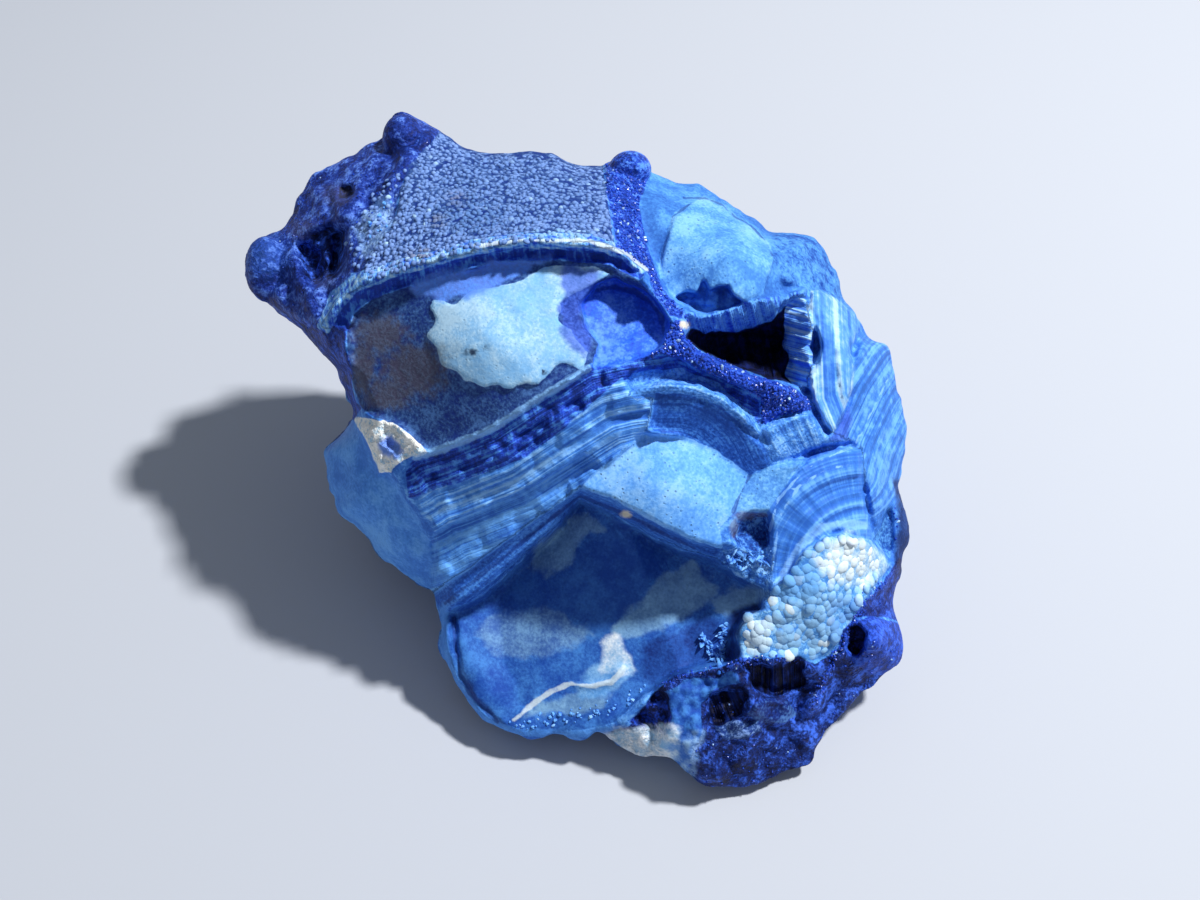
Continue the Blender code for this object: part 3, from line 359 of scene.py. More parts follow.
                 (29, -22.6), (27, -22.4), (25.2, -21.2), (24.5, -19.8)],
        heights=[(27.6, -19.4, 2.2), (25, -18.4, 0), (25, -20.6, -0.6), (27.4, -17, -0.8), (27.4, -22, -1.8),
                 (30, -17.8, -2.8), (30.2, -21, -3.6)],
        edge=0.35),
    "tubeMouth": dict(
        outline=[(24.9, -17.8), (25.8, -17.4), (26.5, -18.4), (26.4, -19.8), (25.6, -20.6), (24.9, -20)],
        step=-2.6, edge=0.3),
    "tealRecess": dict(
        outline=[(28.9, -5.6), (29.4, -7), (29.1, -10.7), (27.2, -9), (28, -7.7)],
        step=-1.2, edge=0.3),
    "blockPit": dict(
        outline=[(-30.2, 20.3), (-29.3, 21.2), (-27, 22.3), (-25.6, 21.8), (-25.5, 19.5), (-26.5, 17.3),
                 (-28.5, 16.6), (-29.5, 17.6)],
        heights=[(-29.5, 20, -6.5), (-26.5, 21, -5), (-27, 18, -3.8)],
        edge=0.7),
    "smallPit": dict(
        outline=[(-26.2, 25.2), (-26, 26.3), (-25, 26.5), (-24.6, 25.6), (-25.3, 25)],
        step=-2, edge=0.4),
}

# Raised lines along the face: (points, height, half width)
ridges = [
    (ridgeLine[1:6], 0.5, 0.55), (rimLine[2:8], 0.5, 0.5), (rightSeam, 1.1, 0.8),
    ([(-15.6, -17), (-15.4, -20), (-14.3, -23), (-11.6, -26.7), (-8, -28.2)], 1.2, 0.55),
    (ridgeSeam, 0.9, 0.7), ([(-30.5, 18), (-29.2, 15), (-28, 12.3), (-27, 9.8)], 0.9, 0.6), (creamSeam, 0.4, 0.3),
    ([(-22.4, 30), (-24, 26.5), (-25.4, 23.6)], 0.9, 0.7), ([(-19, 31), (-20.6, 28), (-21.4, 25)], 0.8, 0.7)]

# Lumps grown onto the face: (u, v, height of the centre, radii across and up, radius outward)
knobs = [
    (-33.2, 18.0, -7.5, 2.2, 3.5, 3.0),  # at the far left
    (-19.5, 31.2, -6.5, 2.3, 2.5, 3.0),  # at the top
    (3.0, 28.0, -3.5, 2.2, 1.9, 3.2)]    # at the upper end of the druse

# Domes on the hidden back: (world x, y, z of the centre, radius)
backDomes = [
    (-22, 19, 23, 12), (-7, 20, 11, 13.5), (8, 21.5, 19, 12), (20, 13, 12, 12.5), (-4, 20, 27, 11.5),
    (17, 13, 26, 12), (-17, 4, 12, 14), (24, 2, 14, 12)]


def place(u, v, height):
    # world place in mm: the plane point drawn in toward the eye's axis as it rises, plus the height along it
    spread = 1 - height / eyeDistance
    return (faceCentre + np.multiply.outer(u * spread, across) + np.multiply.outer(v * spread, upPlane)
            + np.multiply.outer(height, toEye))


def faceCoordinates(points):
    # the reverse of place(): u, v and height of world points in mm
    x, y, height = ((points - faceCentre) @ faceAxes.T).T
    spread = 1 - height / eyeDistance
    return x / spread, y / spread, height


def ease(x):
    # 0 to 1 with level ends: x squared times three less two x
    x = np.clip(x, 0, 1)
    return x * x * (3 - 2 * x)


def lineDistance(u, v, points, closed=False):
    # least distance to a chain of straight runs
    starts = points if closed else points[:-1]
    ends = points[1:] + points[:1] if closed else points[1:]
    nearest = np.full(u.shape, np.inf)
    for (startU, startV), (endU, endV) in zip(starts, ends):
        du, dv = endU - startU, endV - startV
        along = np.clip(((u - startU) * du + (v - startV) * dv) / (du * du + dv * dv), 0, 1)
        nearest = np.minimum(nearest, np.hypot(u - startU - along * du, v - startV - along * dv))
    return nearest


def depthInside(u, v, outline, reach=2.0):
    # distance to an outline, positive inside and negative outside, where the crossings of a level line are
    # counted to tell them apart; it is worked out near the outline and held at -reach beyond
    low, high = np.min(outline, axis=0) - reach, np.max(outline, axis=0) + reach
    near = (u > low[0]) & (u < high[0]) & (v > low[1]) & (v < high[1])
    nearU, nearV = u[near], v[near]
    within = np.zeros(nearU.shape, bool)
    for (startU, startV), (endU, endV) in zip(outline, outline[1:] + outline[:1]):
        if startV != endV:
            crossing = startU + (nearV - startV) * (endU - startU) / (endV - startV)
            within ^= ((startV > nearV) != (endV > nearV)) & (nearU < crossing)
    depth = np.full(u.shape, -reach)
    depth[near] = np.where(within, 1, -1) * lineDistance(nearU, nearV, outline, closed=True)
    return np.maximum(depth, -reach)


def thinPlate(u, v, heights):
    # a smooth surface close to a few heights, as a thin plate bends: a plane plus r*r*log(r*r) about each
    slack = 2    # how freely it may pass beside them
    fixedU, fixedV, fixedHeight = np.array(heights, float).T
    count = len(heights)

    def bend(du, dv):
        squared = du * du + dv * dv + 1e-9
        return squared * np.log(squared)

    plane = np.column_stack([np.ones(count), fixedU, fixedV])
    system = np.zeros((count + 3, count + 3))
    system[:count, :count] = bend(fixedU[:, None] - fixedU, fixedV[:, None] - fixedV) + slack * np.eye(count)
    system[:count, count:] = plane
    system[count:, :count] = plane.T
    weights = np.linalg.solve(system, np.append(fixedHeight, [0, 0, 0]))
    surface = weights[count] + weights[count + 1] * u + weights[count + 2] * v
    for k in range(count):
        surface = surface + weights[k] * bend(u - fixedU[k], v - fixedV[k])
    return surface


def hashValue(cells):
    # a repeatable number from 0 to 1 for each whole-number cell
    mixed = (cells[..., 0] * 374761393 + cells[..., 1] * 668265263 + cells[..., 2] * 2147483647) & 0xFFFFFFFF
    mixed = ((mixed ^ (mixed >> 13)) * 1274126177) & 0xFFFFFFFF
    return ((mixed ^ (mixed >> 16)) & 0xFFFFFF) / 0xFFFFFF


def valueNoise(points):
    # smooth noise from -1 to 1: random values at whole-number corners, eased between them
    base = np.floor(points).astype(np.int64)
    part = ease(points - base)
    total = np.zeros(points.shape[:-1])
    for corner in np.ndindex(2, 2, 2):
        share = np.prod(np.where(corner, part, 1 - part), axis=-1)
        total += share * hashValue(base + np.array(corner))
    return total * 2 - 1


def roughNoise(points, size, octaves=3):
    # several sizes of smooth noise added, each half as wide and half as high as the last
    return sum(valueNoise(points * (2 ** k / size) + 17.3 * k) / 2 ** k for k in range(octaves))


def flatPoints(u, v):
    # places in the drawing plane, for the noises
    return np.stack([u, v, np.zeros_like(u)], axis=-1)


edgeWear = dict(usual=0.12, marking=0.5, reach=1.8, size=1.3)    # in mm


def wornDepth(u, v, outline, wear):
    # the depth inside an outline, its edge made ragged by noise of the given height
    depth = depthInside(u, v, outline)
    near = np.abs(depth) < edgeWear["reach"]
    depth[near] += wear * roughNoise(flatPoints(u[near], v[near]), edgeWear["size"])
    return depth


def areaDepth(u, v, area):
    # the ragged depth inside an area
    return wornDepth(u, v, area["outline"], area.get("wear", edgeWear["usual"]))


def faceHeight(u, v):
    # the swell of the face, then each area laid over it, the raised lines and what each area's growth adds
    height = thinPlate(u, v, swell)
    for name, area in areas.items():
        cover = ease(0.5 + areaDepth(u, v, area) / (2 * area["edge"]))
        held = cover > 0
        nearU, nearV = u[held], v[held]
        laid = height[held] + area["step"] if "step" in area else thinPlate(nearU, nearV, area["heights"])
        if name in growth:
            laid = laid + growth[name](nearU, nearV)
        height[held] += cover[held] * (laid - height[held])
    for points, rise, halfWidth in ridges:
        height = height + rise * np.exp(-(lineDistance(u, v, points) / halfWidth) ** 2)
    for line, depth, width in cracks:
        wavered = lineDistance(u, v, line) + crackWaver * roughNoise(flatPoints(u, v), crackWaverSize, 2)
        height = height - depth * ease(1 - np.abs(wavered) / width)
    return height


# The next functions each make a function of u and v: what a kind of growth adds to a smooth form, in mm
turnReach = 8           # a turn of one radian about a short guide counts as this many mm along it
fibreStretch = 0.16     # how far the noise of a fibre moves on for each mm of its length
foldMean = 0.35         # about the mean of noise that is folded at zero
layering = dict(
    waver=0.14, waverSize=3.0, fine=0.38, fineShare=0.4, ramp=0.3, blockDepth=2.2, ragged=0.12,
    raggedSize=0.8)


def rough(size, rise, octaves=3):
    # plain noise
    return lambda u, v: rise * roughNoise(flatPoints(u, v), size, octaves)


def alongGuide(u, v, guide):
    # how far along a guide each point lies, and about a guide that is shorter than a millimetre, its turn
    first, last = np.array(guide[0]), np.array(guide[-1])
    length = math.hypot(*(last - first))
    if length < 1:
        return np.arctan2(v - first[1], u - first[0]) * turnReach
    return (u - first[0]) * (last - first)[0] / length + (v - first[1]) * (last - first)[1] / length


def chanceOf(*whole):
    # a repeatable number from 0 to 1 for whole-number arrays
    return hashValue(np.stack(np.broadcast_arrays(*whole), axis=-1).astype(np.int64))


def strata(guide, period, rise, blockRise=0.0, blockLength=2.6):
    # layers that follow a guide, each at its own height with a short ramp to the next, in a coarse and a fine
    # set, and broken across into blocks that stand higher or lower
    def add(u, v):
        flat, ramp = flatPoints(u, v), layering["ramp"]
        away = lineDistance(u, v, guide) + layering["waver"] * roughNoise(flat, layering["waverSize"], 2)
        total = np.zeros_like(u)
        for size, share in ((period, 1.0), (period * layering["fine"], layering["fineShare"])):
            row = np.floor(away / size)
            level, following = chanceOf(row, 0, 7), chanceOf(row + 1, 0, 7)
            onward = ease((away / size - row - 1 + ramp) / ramp)
            total += share * rise * (level + (following - level) * onward - 0.5)
        if blockRise:
            row = np.floor(away / (layering["blockDepth"] * period))
            column = np.floor(alongGuide(u, v, guide) / blockLength + 7 * chanceOf(row, 3, 1)
                              + layering["ragged"] * roughNoise(flat, layering["raggedSize"], 2))
            total += blockRise * (chanceOf(row, column, 5) - 0.5)
        return total
    return add


def fibres(guide, period, rise):
    # fine columns that cross the layers: noise of the place along the guide, stretched away from it
    def add(u, v):
        away, along = lineDistance(u, v, guide), alongGuide(u, v, guide)
        return rise * roughNoise(flatPoints(along, away * fibreStretch), period, 2)
    return add


def both(*adds):
    # the sum of several growths
    return lambda u, v: sum(add(u, v) for add in adds)


cellStray = 0.8                                  # how far a cell's place moves, as a share of the spacing
cobbleForm = dict(steepness=1.9, lowest=0.45)    # how fast a cobble falls, and the top of the lowest


def nearestCell(u, v, spacing, seed):
    # distance to the nearest of a grid of places moved by chance, and that place's own chance from 0 to 1
    cellU, cellV = np.floor(u / spacing), np.floor(v / spacing)
    nearest, chance = np.full(u.shape, np.inf), np.zeros(u.shape)
    for stepU, stepV in np.ndindex(3, 3):
        column, row = cellU + stepU - 1, cellV + stepV - 1
        placeU = (column + 0.5 + cellStray * (chanceOf(column, row, seed) - 0.5)) * spacing
        placeV = (row + 0.5 + cellStray * (chanceOf(column, row, seed + 1) - 0.5)) * spacing
        away = np.hypot(u - placeU, v - placeV)
        chance = np.where(away < nearest, chanceOf(column, row, seed + 2), chance)
        nearest = np.minimum(nearest, away)
    return nearest, chance


def cobbleHeight(u, v, spacing):
    # close-packed cobbles, each falling with the square of the distance: 1 on a high one's top, 0 between
    nearest, chance = nearestCell(u, v, spacing, 3)
    lowest = cobbleForm["lowest"]
    fall = np.maximum(1 - cobbleForm["steepness"] * (nearest / spacing) ** 2, 0)
    return fall * (lowest + (1 - lowest) * chance)


def cobbles(spacing, rise):
    # close-packed cobbles of a given height
    return lambda u, v: rise * cobbleHeight(u, v, spacing)


def lumps(size, rise):
    # rounded lumps with creases between them: noise folded at zero, less its mean
    return lambda u, v: rise * (np.abs(roughNoise(flatPoints(u, v), size, 3)) - foldMean)


# What grows on each area, over its smooth form
growth = {
    "darkBlock": both(lumps(3.2, 1.7), rough(1.1, 0.22, 3)),
    "pebbledShoulder": rough(4.0, 0.3, 2),
    "leftDome": both(rough(7.0, 0.5, 3), lumps(5.0, 0.8)),
    "veinCorner": both(lumps(1.4, 1.4), rough(0.6, 0.3)),
    "leftRim": both(lumps(1.8, 0.8), rough(0.8, 0.2)),
    "sideCrust": both(lumps(2.0, 1.6), rough(0.8, 0.2)),
    "blockPit": lumps(1.6, 2.2),
    "lens": both(rough(9.0, 0.3, 2), rough(1.2, 0.04, 2)),
    "flake": rough(1.6, 0.07, 3),
    "smallHollow": strata(hollowCentre, 0.6, 0.16),
    "rimFace": fibres(rimFibres, 0.5, 0.3),
    "rimLip": both(fibres(rimFibres, 0.6, 0.2), rough(0.7, 0.22)),
    "darkBand": both(strata(ridgeLine, 0.9, 0.8, 0.7, 1.9), rough(0.9, 0.4, 3)),
    "layeredFace": both(strata(ridgeLine, 0.8, 0.55, 0.7, 3.0), rough(2.0, 0.2, 3)),
    "lowerLayers": strata(ridgeLine, 0.7, 0.4, 0.3, 4.0),
    "undercutWall": strata(wallEdge, 0.9, 0.35),
    "bowl": both(rough(6.0, 0.5, 3), rough(1.2, 0.05, 2)),
    "shelf": both(strata(shelfLine, 0.7, 0.25, 0.25, 2.5), rough(0.8, 0.05, 2)),
    "curvedWall": strata(shelfLine, 1.3, 0.12),
    "platform": rough(6.0, 0.14, 2),
    "secondFacet": rough(1.4, 0.1),
    "upperDome": rough(5.0, 0.25, 2),
    "domeShell": both(rough(4.0, 0.25, 2), rough(0.9, 0.1, 3)),
    "roughKnob": both(lumps(1.7, 1.3), rough(0.8, 0.15, 2)),
    "holeBrush": fibres(brushFibres, 0.6, 0.6),
    "blackSlot": fibres(slotFibres, 0.7, 0.5),
    "lowHollow": fibres(lowFibres, 0.8, 0.4),
    "skyCrust": both(cobbles(0.9, 0.3), rough(1.5, 0.2)),
    "purpleWedge": rough(0.8, 0.2),
    "holeLip": both(fibres(lipFibres, 0.6, 0.5), rough(1.2, 0.3)),
    "brokenWindow": strata(domeLine, 0.9, 0.3, 0.5, 1.5),
    "upperDruse": rough(1.2, 0.4),
    "druseArm": rough(1.1, 0.45),
    "blackHole": rough(1.8, 0.8),
    "ribbedBlock": both(strata(blockLine, 0.9, 1.0, 0.5, 4.5), rough(1.2, 0.1)),
    "rightSlab": strata(slabLine, 1.1, 0.6, 0.4, 5.0),
    "ribbedRows": both(strata(fanCentre, 1.3, 0.4, 0.5, 2.4), fibres(fanCentre, 0.8, 0.25)),
    "fan": both(strata(fanCentre, 1.2, 0.7), fibres(fanCentre, 0.7, 0.12)),
    "whitePatch": both(lumps(3.2, 0.6), rough(1.0, 0.12)),
    "notch": rough(1.2, 0.5),
    "crumbledCorner": rough(1.0, 0.6),
    "darkRidge": both(lumps(3.6, 2.2), rough(1.0, 0.2, 3)),
    "tealRecess": rough(1.2, 0.2),
    "tubeBall": rough(1.0, 0.15),
}

# Cuts sunk into the face: the line, the depth and the half width
crackWaver, crackWaverSize = 0.15, 0.9
cracks = [
    ([(16.6, 17.5), (15.4, 19.3), (14.6, 20.2), (14.2, 21.8)], 0.3, 0.25),
    (domeCrack, 0.5, 0.25), (domeStep, 0.5, 0.25), (facetCrease, 0.3, 0.3), (shellGap, 0.9, 0.5),
    ([(21.2, -0.2), (22.2, 0.4), (24.6, 0.6)], 0.5, 0.35),
    ([(19.6, 16.4), (21, 14), (22.4, 12)], 0.4, 0.3),
    ([(2.3, -6.1), (7, -8.6), (11, -10.6)], 0.4, 0.4)]


def straightRadius(angle):
    # distance from the face's centre to the outline in each direction, along the straight run crossed there
    corners = np.array(outline, float)
    corners = corners[np.argsort(np.arctan2(corners[:, 1], corners[:, 0]))]
    turned = np.arctan2(np.sin(angle), np.cos(angle))
    last = np.searchsorted(np.arctan2(corners[:, 1], corners[:, 0]), turned) % len(corners)
    side = corners[last] - corners[last - 1]
    crossed = corners[last, 0] * side[:, 1] - corners[last, 1] * side[:, 0]
    return crossed / (np.cos(angle) * side[:, 1] - np.sin(angle) * side[:, 0])


def outlineRadius(angle):
    # the straight runs averaged over a few directions, so that their corners come out round, and small lumps
    radius = sum(straightRadius(angle + turn) for turn in body["cornerTurns"]) / len(body["cornerTurns"])
    edge = flatPoints(radius * np.cos(angle), radius * np.sin(angle))
    return radius + body["edgeLumps"] * roughNoise(edge, body["edgeLumpSize"], 3)


def rimHeight(angle):
    # the height of the rim in each direction, straight between those given
    return np.interp(np.degrees(angle) % 360, *np.array(rimHeights, float).T)


def softLower(first, second):
    # the lower of two heights, blended where they are close: the log of their summed exponentials
    return -body["backBlend"] * np.logaddexp(-first / body["backBlend"], -second / body["backBlend"])


def farSide(u, v, centre, radii):
    # where sight lines leave an ellipsoid on its hidden side, by the quadratic formula
    start = (place(u, v, np.zeros_like(u)) - centre) / radii
    step = (place(u, v, np.ones_like(u)) - place(u, v, np.zeros_like(u))) / radii
    square = (step * step).sum(axis=1)
    middle = -(start * step).sum(axis=1) / square
    spread = middle * middle - ((start * start).sum(axis=1) - 1) / square
    return np.where(spread > 0, middle - np.sqrt(np.maximum(spread, 0)), np.inf)


def backHeight(u, v):
    # a curved back grown over with domes, above a floor that is cut flat
    back = farSide(u, v, body["backCentre"], body["backRadii"])
    for x, y, z, radius in backDomes:
        back = softLower(back, farSide(u, v, (x, y, z), (radius, radius, radius)))
    down = faceCentre[2] + body["floorAllowance"] + upPlane[2] * v
    floor = -down / (toEye[2] - upPlane[2] * v / eyeDistance)
    return -softLower(-back, -floor)


def roundedOff(reach, rim, surface, rounding):
    # the surface carried down to the rim by a quarter turn over the last share of the reach
    turn = np.clip((reach - 1 + rounding) / rounding, 0, 1)
    return rim + (surface - rim) * np.sqrt(1 - turn * turn)


def frontHeight(u, v):
    # the face's height, held above the rim and rounded down to it
    angle = np.arctan2(v, u)
    rim = rimHeight(angle)
    return roundedOff(np.hypot(u, v) / outlineRadius(angle), rim,
                      np.maximum(faceHeight(u, v), rim + body["leastRise"]), body["rimRounding"])


def wrapSurface(angle, reach, isFront):
    # the specimen's surface: angle about the centre and reach from it, 0 at the middle and 1 at the rim
    radius = reach * outlineRadius(angle)
    u, v = radius * np.cos(angle), radius * np.sin(angle)
    if isFront:
        return place(u, v, frontHeight(u, v))
    rim = rimHeight(angle)
    fromRim = np.minimum((1 - reach) * outlineRadius(angle), body["thickeningWidth"])
    surface = np.minimum(backHeight(u, v), rim - body["leastDrop"] - body["thickening"] * fromRim)
    return place(u, v, roundedOff(reach, rim, surface, body["backRounding"]))


def closedGrid(rings, firstPole, lastPole):
    # rings of points joined into quads, each end closed on its pole: points and faces
    ringCount, spokeCount = rings.shape[:2]
    points = np.vstack([rings.reshape(-1, 3), firstPole, lastPole])
    ring, spoke = np.meshgrid(np.arange(ringCount - 1), np.arange(spokeCount), indexing="ij")
    here, there = ring * spokeCount + spoke, ring * spokeCount + (spoke + 1) % spokeCount
    quads = np.stack([here, here + spokeCount, there + spokeCount, there], axis=-1).reshape(-1, 4)
    spoke = np.arange(spokeCount)
    turned = (spoke + 1) % spokeCount
    top = len(points) - 2
    start = np.stack([np.full(spokeCount, top), spoke, turned], axis=-1)
    end = np.stack([np.full(spokeCount, top + 1), turned, spoke], axis=-1)
    end[:, 1:] += (ringCount - 1) * spokeCount
    return points, [quads, start, end]


def makeMesh(name, points, faceSets):
    # points in mm and arrays of quads or triangles become a smooth-shaded object at the origin
    corners = np.concatenate([faces.ravel() for faces in faceSets])
    sizes = np.concatenate([np.full(len(faces), faces.shape[1]) for faces in faceSets])
    mesh = bpy.data.meshes.new(name)
    mesh.vertices.add(len(points))
    mesh.loops.add(len(corners))
    mesh.polygons.add(len(sizes))
    mesh.vertices.foreach_set("co", (points * mm).ravel())
    mesh.loops.foreach_set("vertex_index", corners)
    mesh.polygons.foreach_set("loop_start", np.concatenate([[0], np.cumsum(sizes)[:-1]]))
    mesh.update(calc_edges=True)
    mesh.shade_smooth()
    piece = bpy.data.objects.new(name, mesh)
    bpy.context.collection.objects.link(piece)
    return piece


def countTriangles(mesh):
    # a face is as many triangles as it has corners, less two
    return len(mesh.loops) - 2 * len(mesh.polygons)


def readPoints(mesh):
    points = np.empty(len(mesh.vertices) * 3)
    mesh.vertices.foreach_get("co", points)
    return points.reshape(-1, 3) / mm


def readNormals(mesh):
    normals = np.empty(len(mesh.vertices) * 3)
    mesh.vertices.foreach_get("normal", normals)
    return normals.reshape(-1, 3)


def applyModifier(piece, kind, **settings):
    modifier = piece.modifiers.new(kind.lower(), kind)
    for name, value in settings.items():
        setattr(modifier, name, value)
    evaluated = piece.evaluated_get(bpy.context.evaluated_depsgraph_get())
    old, piece.data = piece.data, bpy.data.meshes.new_from_object(evaluated)
    piece.modifiers.clear()
    bpy.data.meshes.remove(old)


def setAttribute(mesh, name, values):
    kind = "FLOAT_VECTOR" if values.ndim == 2 else "FLOAT"
    attribute = mesh.attributes.new(name, kind, "POINT")
    attribute.data.foreach_set("vector" if values.ndim == 2 else "value", values.astype(np.float32).ravel())


def ellipsoid(centre, radii, tilt=faceAxes, rings=24, spokes=48):
    # latitude and longitude: cosine and sine of each, stretched by the radii along the tilted axes
    latitude = np.linspace(0, math.pi, rings + 2)[1:-1, None]
    longitude = np.arange(spokes)[None, :] * (2 * math.pi / spokes)
    local = np.stack([np.sin(latitude) * np.cos(longitude), np.sin(latitude) * np.sin(longitude),
                      np.cos(latitude) + 0 * longitude], axis=-1) * radii
    pole = np.array([0, 0, radii[2]])
    return closedGrid(local @ tilt + centre, pole @ tilt + centre, centre - pole @ tilt)


def makeNodule():
    # rings over the face from its middle out to the rim, then round the back, fused with the lumps on it
    angle = np.arange(body["spokes"])[None, :] * (2 * math.pi / body["spokes"])
    frontReach = np.sin(np.linspace(0, math.pi / 2, body["frontRings"] + 1)[1:])[:, None]
    backReach = np.sin(np.linspace(math.pi / 2, 0, body["backRings"] + 1)[1:-1])[:, None]

    def ringsAt(reach, isFront):
        allAngles, allReaches = np.broadcast_arrays(angle, reach)
        return wrapSurface(allAngles.ravel(), allReaches.ravel(), isFront).reshape(len(reach), -1, 3)

    rings = np.concatenate([ringsAt(frontReach, True), ringsAt(backReach, False)])
    middle = np.zeros(1)
    poles = [wrapSurface(middle, middle, isFront)[0] for isFront in (True, False)]
    points, faceSets = closedGrid(rings, *poles)
    points[:, 2] = np.maximum(points[:, 2], 0)
    for u, v, height, *radii in knobs:
        more, moreSets = ellipsoid(place(np.array(u), np.array(v), np.array(height)), np.array(radii))
        faceSets += [faces + len(points) for faces in moreSets]
        points = np.vstack([points, more])
    nodule = makeMesh("azuriteNodule", points, faceSets)
    applyModifier(nodule, "REMESH", mode="VOXEL", voxel_size=body["grain"] * mm, use_smooth_shade=True)
    roughen(nodule)
    print("nodule remeshed:", countTriangles(nodule.data), "triangles")
    # the hidden back gives up most of its triangles, then the whole comes down to its count
    u, v, height = faceCoordinates(readPoints(nodule.data))
    hidden = rimHeight(np.arctan2(v, u)) - height > body["hiddenDrop"]
    group = nodule.vertex_groups.new(name="hidden")
    group.add(np.flatnonzero(hidden).tolist(), 1.0, "REPLACE")
    applyModifier(nodule, "DECIMATE", ratio=1 - hidden.mean() * body["backThinning"], vertex_group="hidden")
    applyModifier(nodule, "DECIMATE", ratio=body["triangles"] / countTriangles(nodule.data))
    nodule.vertex_groups.clear()
    nodule.data.shade_smooth()
    return nodule


skin = dict(
    face=0.04, back=0.55, crust=0.22, crusts=("darkBlock", "darkRidge", "blackHole"),    # rise in mm
    fade=3, aboveBase=0.4, baseFade=1.5, flatBelow=0.2, noises=[(0.7, 2.4, 3), (0.3, 7.0, 2)])


def roughen(nodule):
    # every point moves along its normal by noise, more on the crusts and the hidden back, none at the base
    points, normals = readPoints(nodule.data), readNormals(nodule.data)
    u, v, height = faceCoordinates(points)
    behind = ease((rimHeight(np.arctan2(v, u)) - height + 1) / skin["fade"])
    rise = skin["face"] + skin["back"] * behind
    for name in skin["crusts"]:
        crusted = ease(0.5 + depthInside(u, v, areas[name]["outline"]))
        rise = np.maximum(rise, skin["crust"] * crusted * (1 - behind))
    rise *= ease((points[:, 2] - skin["aboveBase"]) / skin["baseFade"])
    noise = sum(share * roughNoise(points, *size) for share, *size in skin["noises"])
    points += normals * (rise * noise)[:, None]
    isBase = points[:, 2] < skin["flatBelow"]
    points[isBase, 2] = 0
    nodule.data.vertices.foreach_set("co", (points * mm).ravel())
    nodule.data.update()


# How far behind the rim the face's areas and markings go on, from what depth an area's guide holds, over what
# depth its look blends in, how the cobbles count in the pattern, and how the drawn lines wander, in mm
marking = dict(reach=1.4, guideFrom=-0.2, blend=0.5, cobbles=(0.25, 0.5), wander=0.12, wanderSize=1.2)


def lookOf(finish):
    # the roughness, the relief and the pits of a finish, then the share of each pattern
    return np.array([finish["rough"], finish["lift"], finish.get("pits", 0)]
                    + [finish.get(pattern, 0) for pattern in patternNames], float)


def markNodule(nodule):
    # what the finish follows. Depths inside areas and markings fade out behind the rim; the patterns' shares,
    # the roughness and the height of the fine relief are worked out here point by point.
    points = readPoints(nodule.data)
    u, v, height = faceCoordinates(points)
    setAttribute(nodule.data, "face", np.stack([u, v, height], axis=-1))
    onFace = marking["reach"] - (rimHeight(np.arctan2(v, u)) - height)
    layer, along = lineDistance(u, v, ridgeLine), alongGuide(u, v, ridgeLine)
    looks = np.tile(lookOf(backFinish), (len(u), 1))
    cobble = np.zeros(len(u))
    for name, area in areas.items():
        finish = finishes[name]
        depth = np.minimum(areaDepth(u, v, area), onFace)
        setAttribute(nodule.data, name, depth)
        if "guide" in finish:
            covered = depth > marking["guideFrom"]
            layer[covered] = lineDistance(u[covered], v[covered], finish["guide"])
            along[covered] = alongGuide(u[covered], v[covered], finish["guide"])
        cover = ease(0.5 + depth / marking["blend"])
        looks += cover[:, None] * (lookOf(finish) - looks)
        if "cobble" in finish:
            cobbled = cover > 0
            cobble[cobbled] = cobbleHeight(u[cobbled], v[cobbled], finish["spacing"])
    matte, relief, pitted, *shares = looks.T
    shares = np.array(shares) / np.sum(shares, axis=0)
    least, more = marking["cobbles"]
    marks = dict(largeShares=shares[:3].T, smallShares=shares[3:6].T,
                 cobble=shares[6] * (least + more * cobble), pitted=pitted, matte=matte, relief=relief,
                 layer=layer, along=along)
    for name, values in marks.items():
        setAttribute(nodule.data, name, values)
    wander = marking["wander"] * roughNoise(flatPoints(u, v), marking["wanderSize"])
    nearness = {}
    for name, (names, share, outlines) in tints.items():
        nearness[name] = [wornDepth(u, v, marked, edgeWear["marking"]) for marked in outlines]
    for name, (shown, share, drawn) in lines.items():
        # 1 on the line and 0 at its half width
        nearness[name] = [1 - (lineDistance(u, v, line) + wander) / width for width, line in drawn]
    for name, (shown, share, rounds) in spots.items():
        nearness[name] = [1 - np.hypot((u - middleU) / reachU, (v - middleV) / reachV)
                          for middleU, middleV, reachU, reachV in rounds]
    for name, each in nearness.items():
        setAttribute(nodule.data, name, np.minimum(np.max(each, axis=0), onFace))


def grainForm(rings, spokes):
    # a ball of few faces
    return ellipsoid(np.zeros(3), np.ones(3), np.eye(3), rings, spokes)


def crystalForm(sides=6, shoulder=0.55):
    # a prism with a pointed end: three rings of corners and a pole at each end
    turn = np.arange(sides) * (2 * math.pi / sides)
    ring = np.stack([np.cos(turn), np.sin(turn)], axis=-1)
    rings = np.array([np.column_stack([ring * width, np.full(sides, level)])
                      for width, level in ((0.35, 1.0), (1.0, shoulder), (0.9, -1.0))])
    return closedGrid(rings, np.array([0.0, 0, 1.15]), np.array([0.0, 0, -1.2]))


def surfaceAt(u, v):
    # points on the face, and the directions across, up and out of its surface there
    gap = 0.2
    here = place(u, v, frontHeight(u, v))
    right = place(u + gap, v, frontHeight(u + gap, v)) - here
    above = place(u, v + gap, frontHeight(u, v + gap)) - here
    out = np.cross(right, above)
    out /= np.linalg.norm(out, axis=1, keepdims=True)
    right = np.cross(above, out)
    right /= np.linalg.norm(right, axis=1, keepdims=True)
    return here, np.stack([right, np.cross(out, right), out], axis=1)


straying = 0.45       # how far a grain strays from its place in the grid, as a share of the spacing
leastInside = 0.1     # how far inside its outline it then has to be, in mm
seamRim = 0.97        # the grains along a line are kept within this share of the way to the rim


def insideRim(u, v, share):
    # whether each point is less than a share of the way out to the rim
    return np.hypot(u, v) < share * outlineRadius(np.arctan2(v, u))


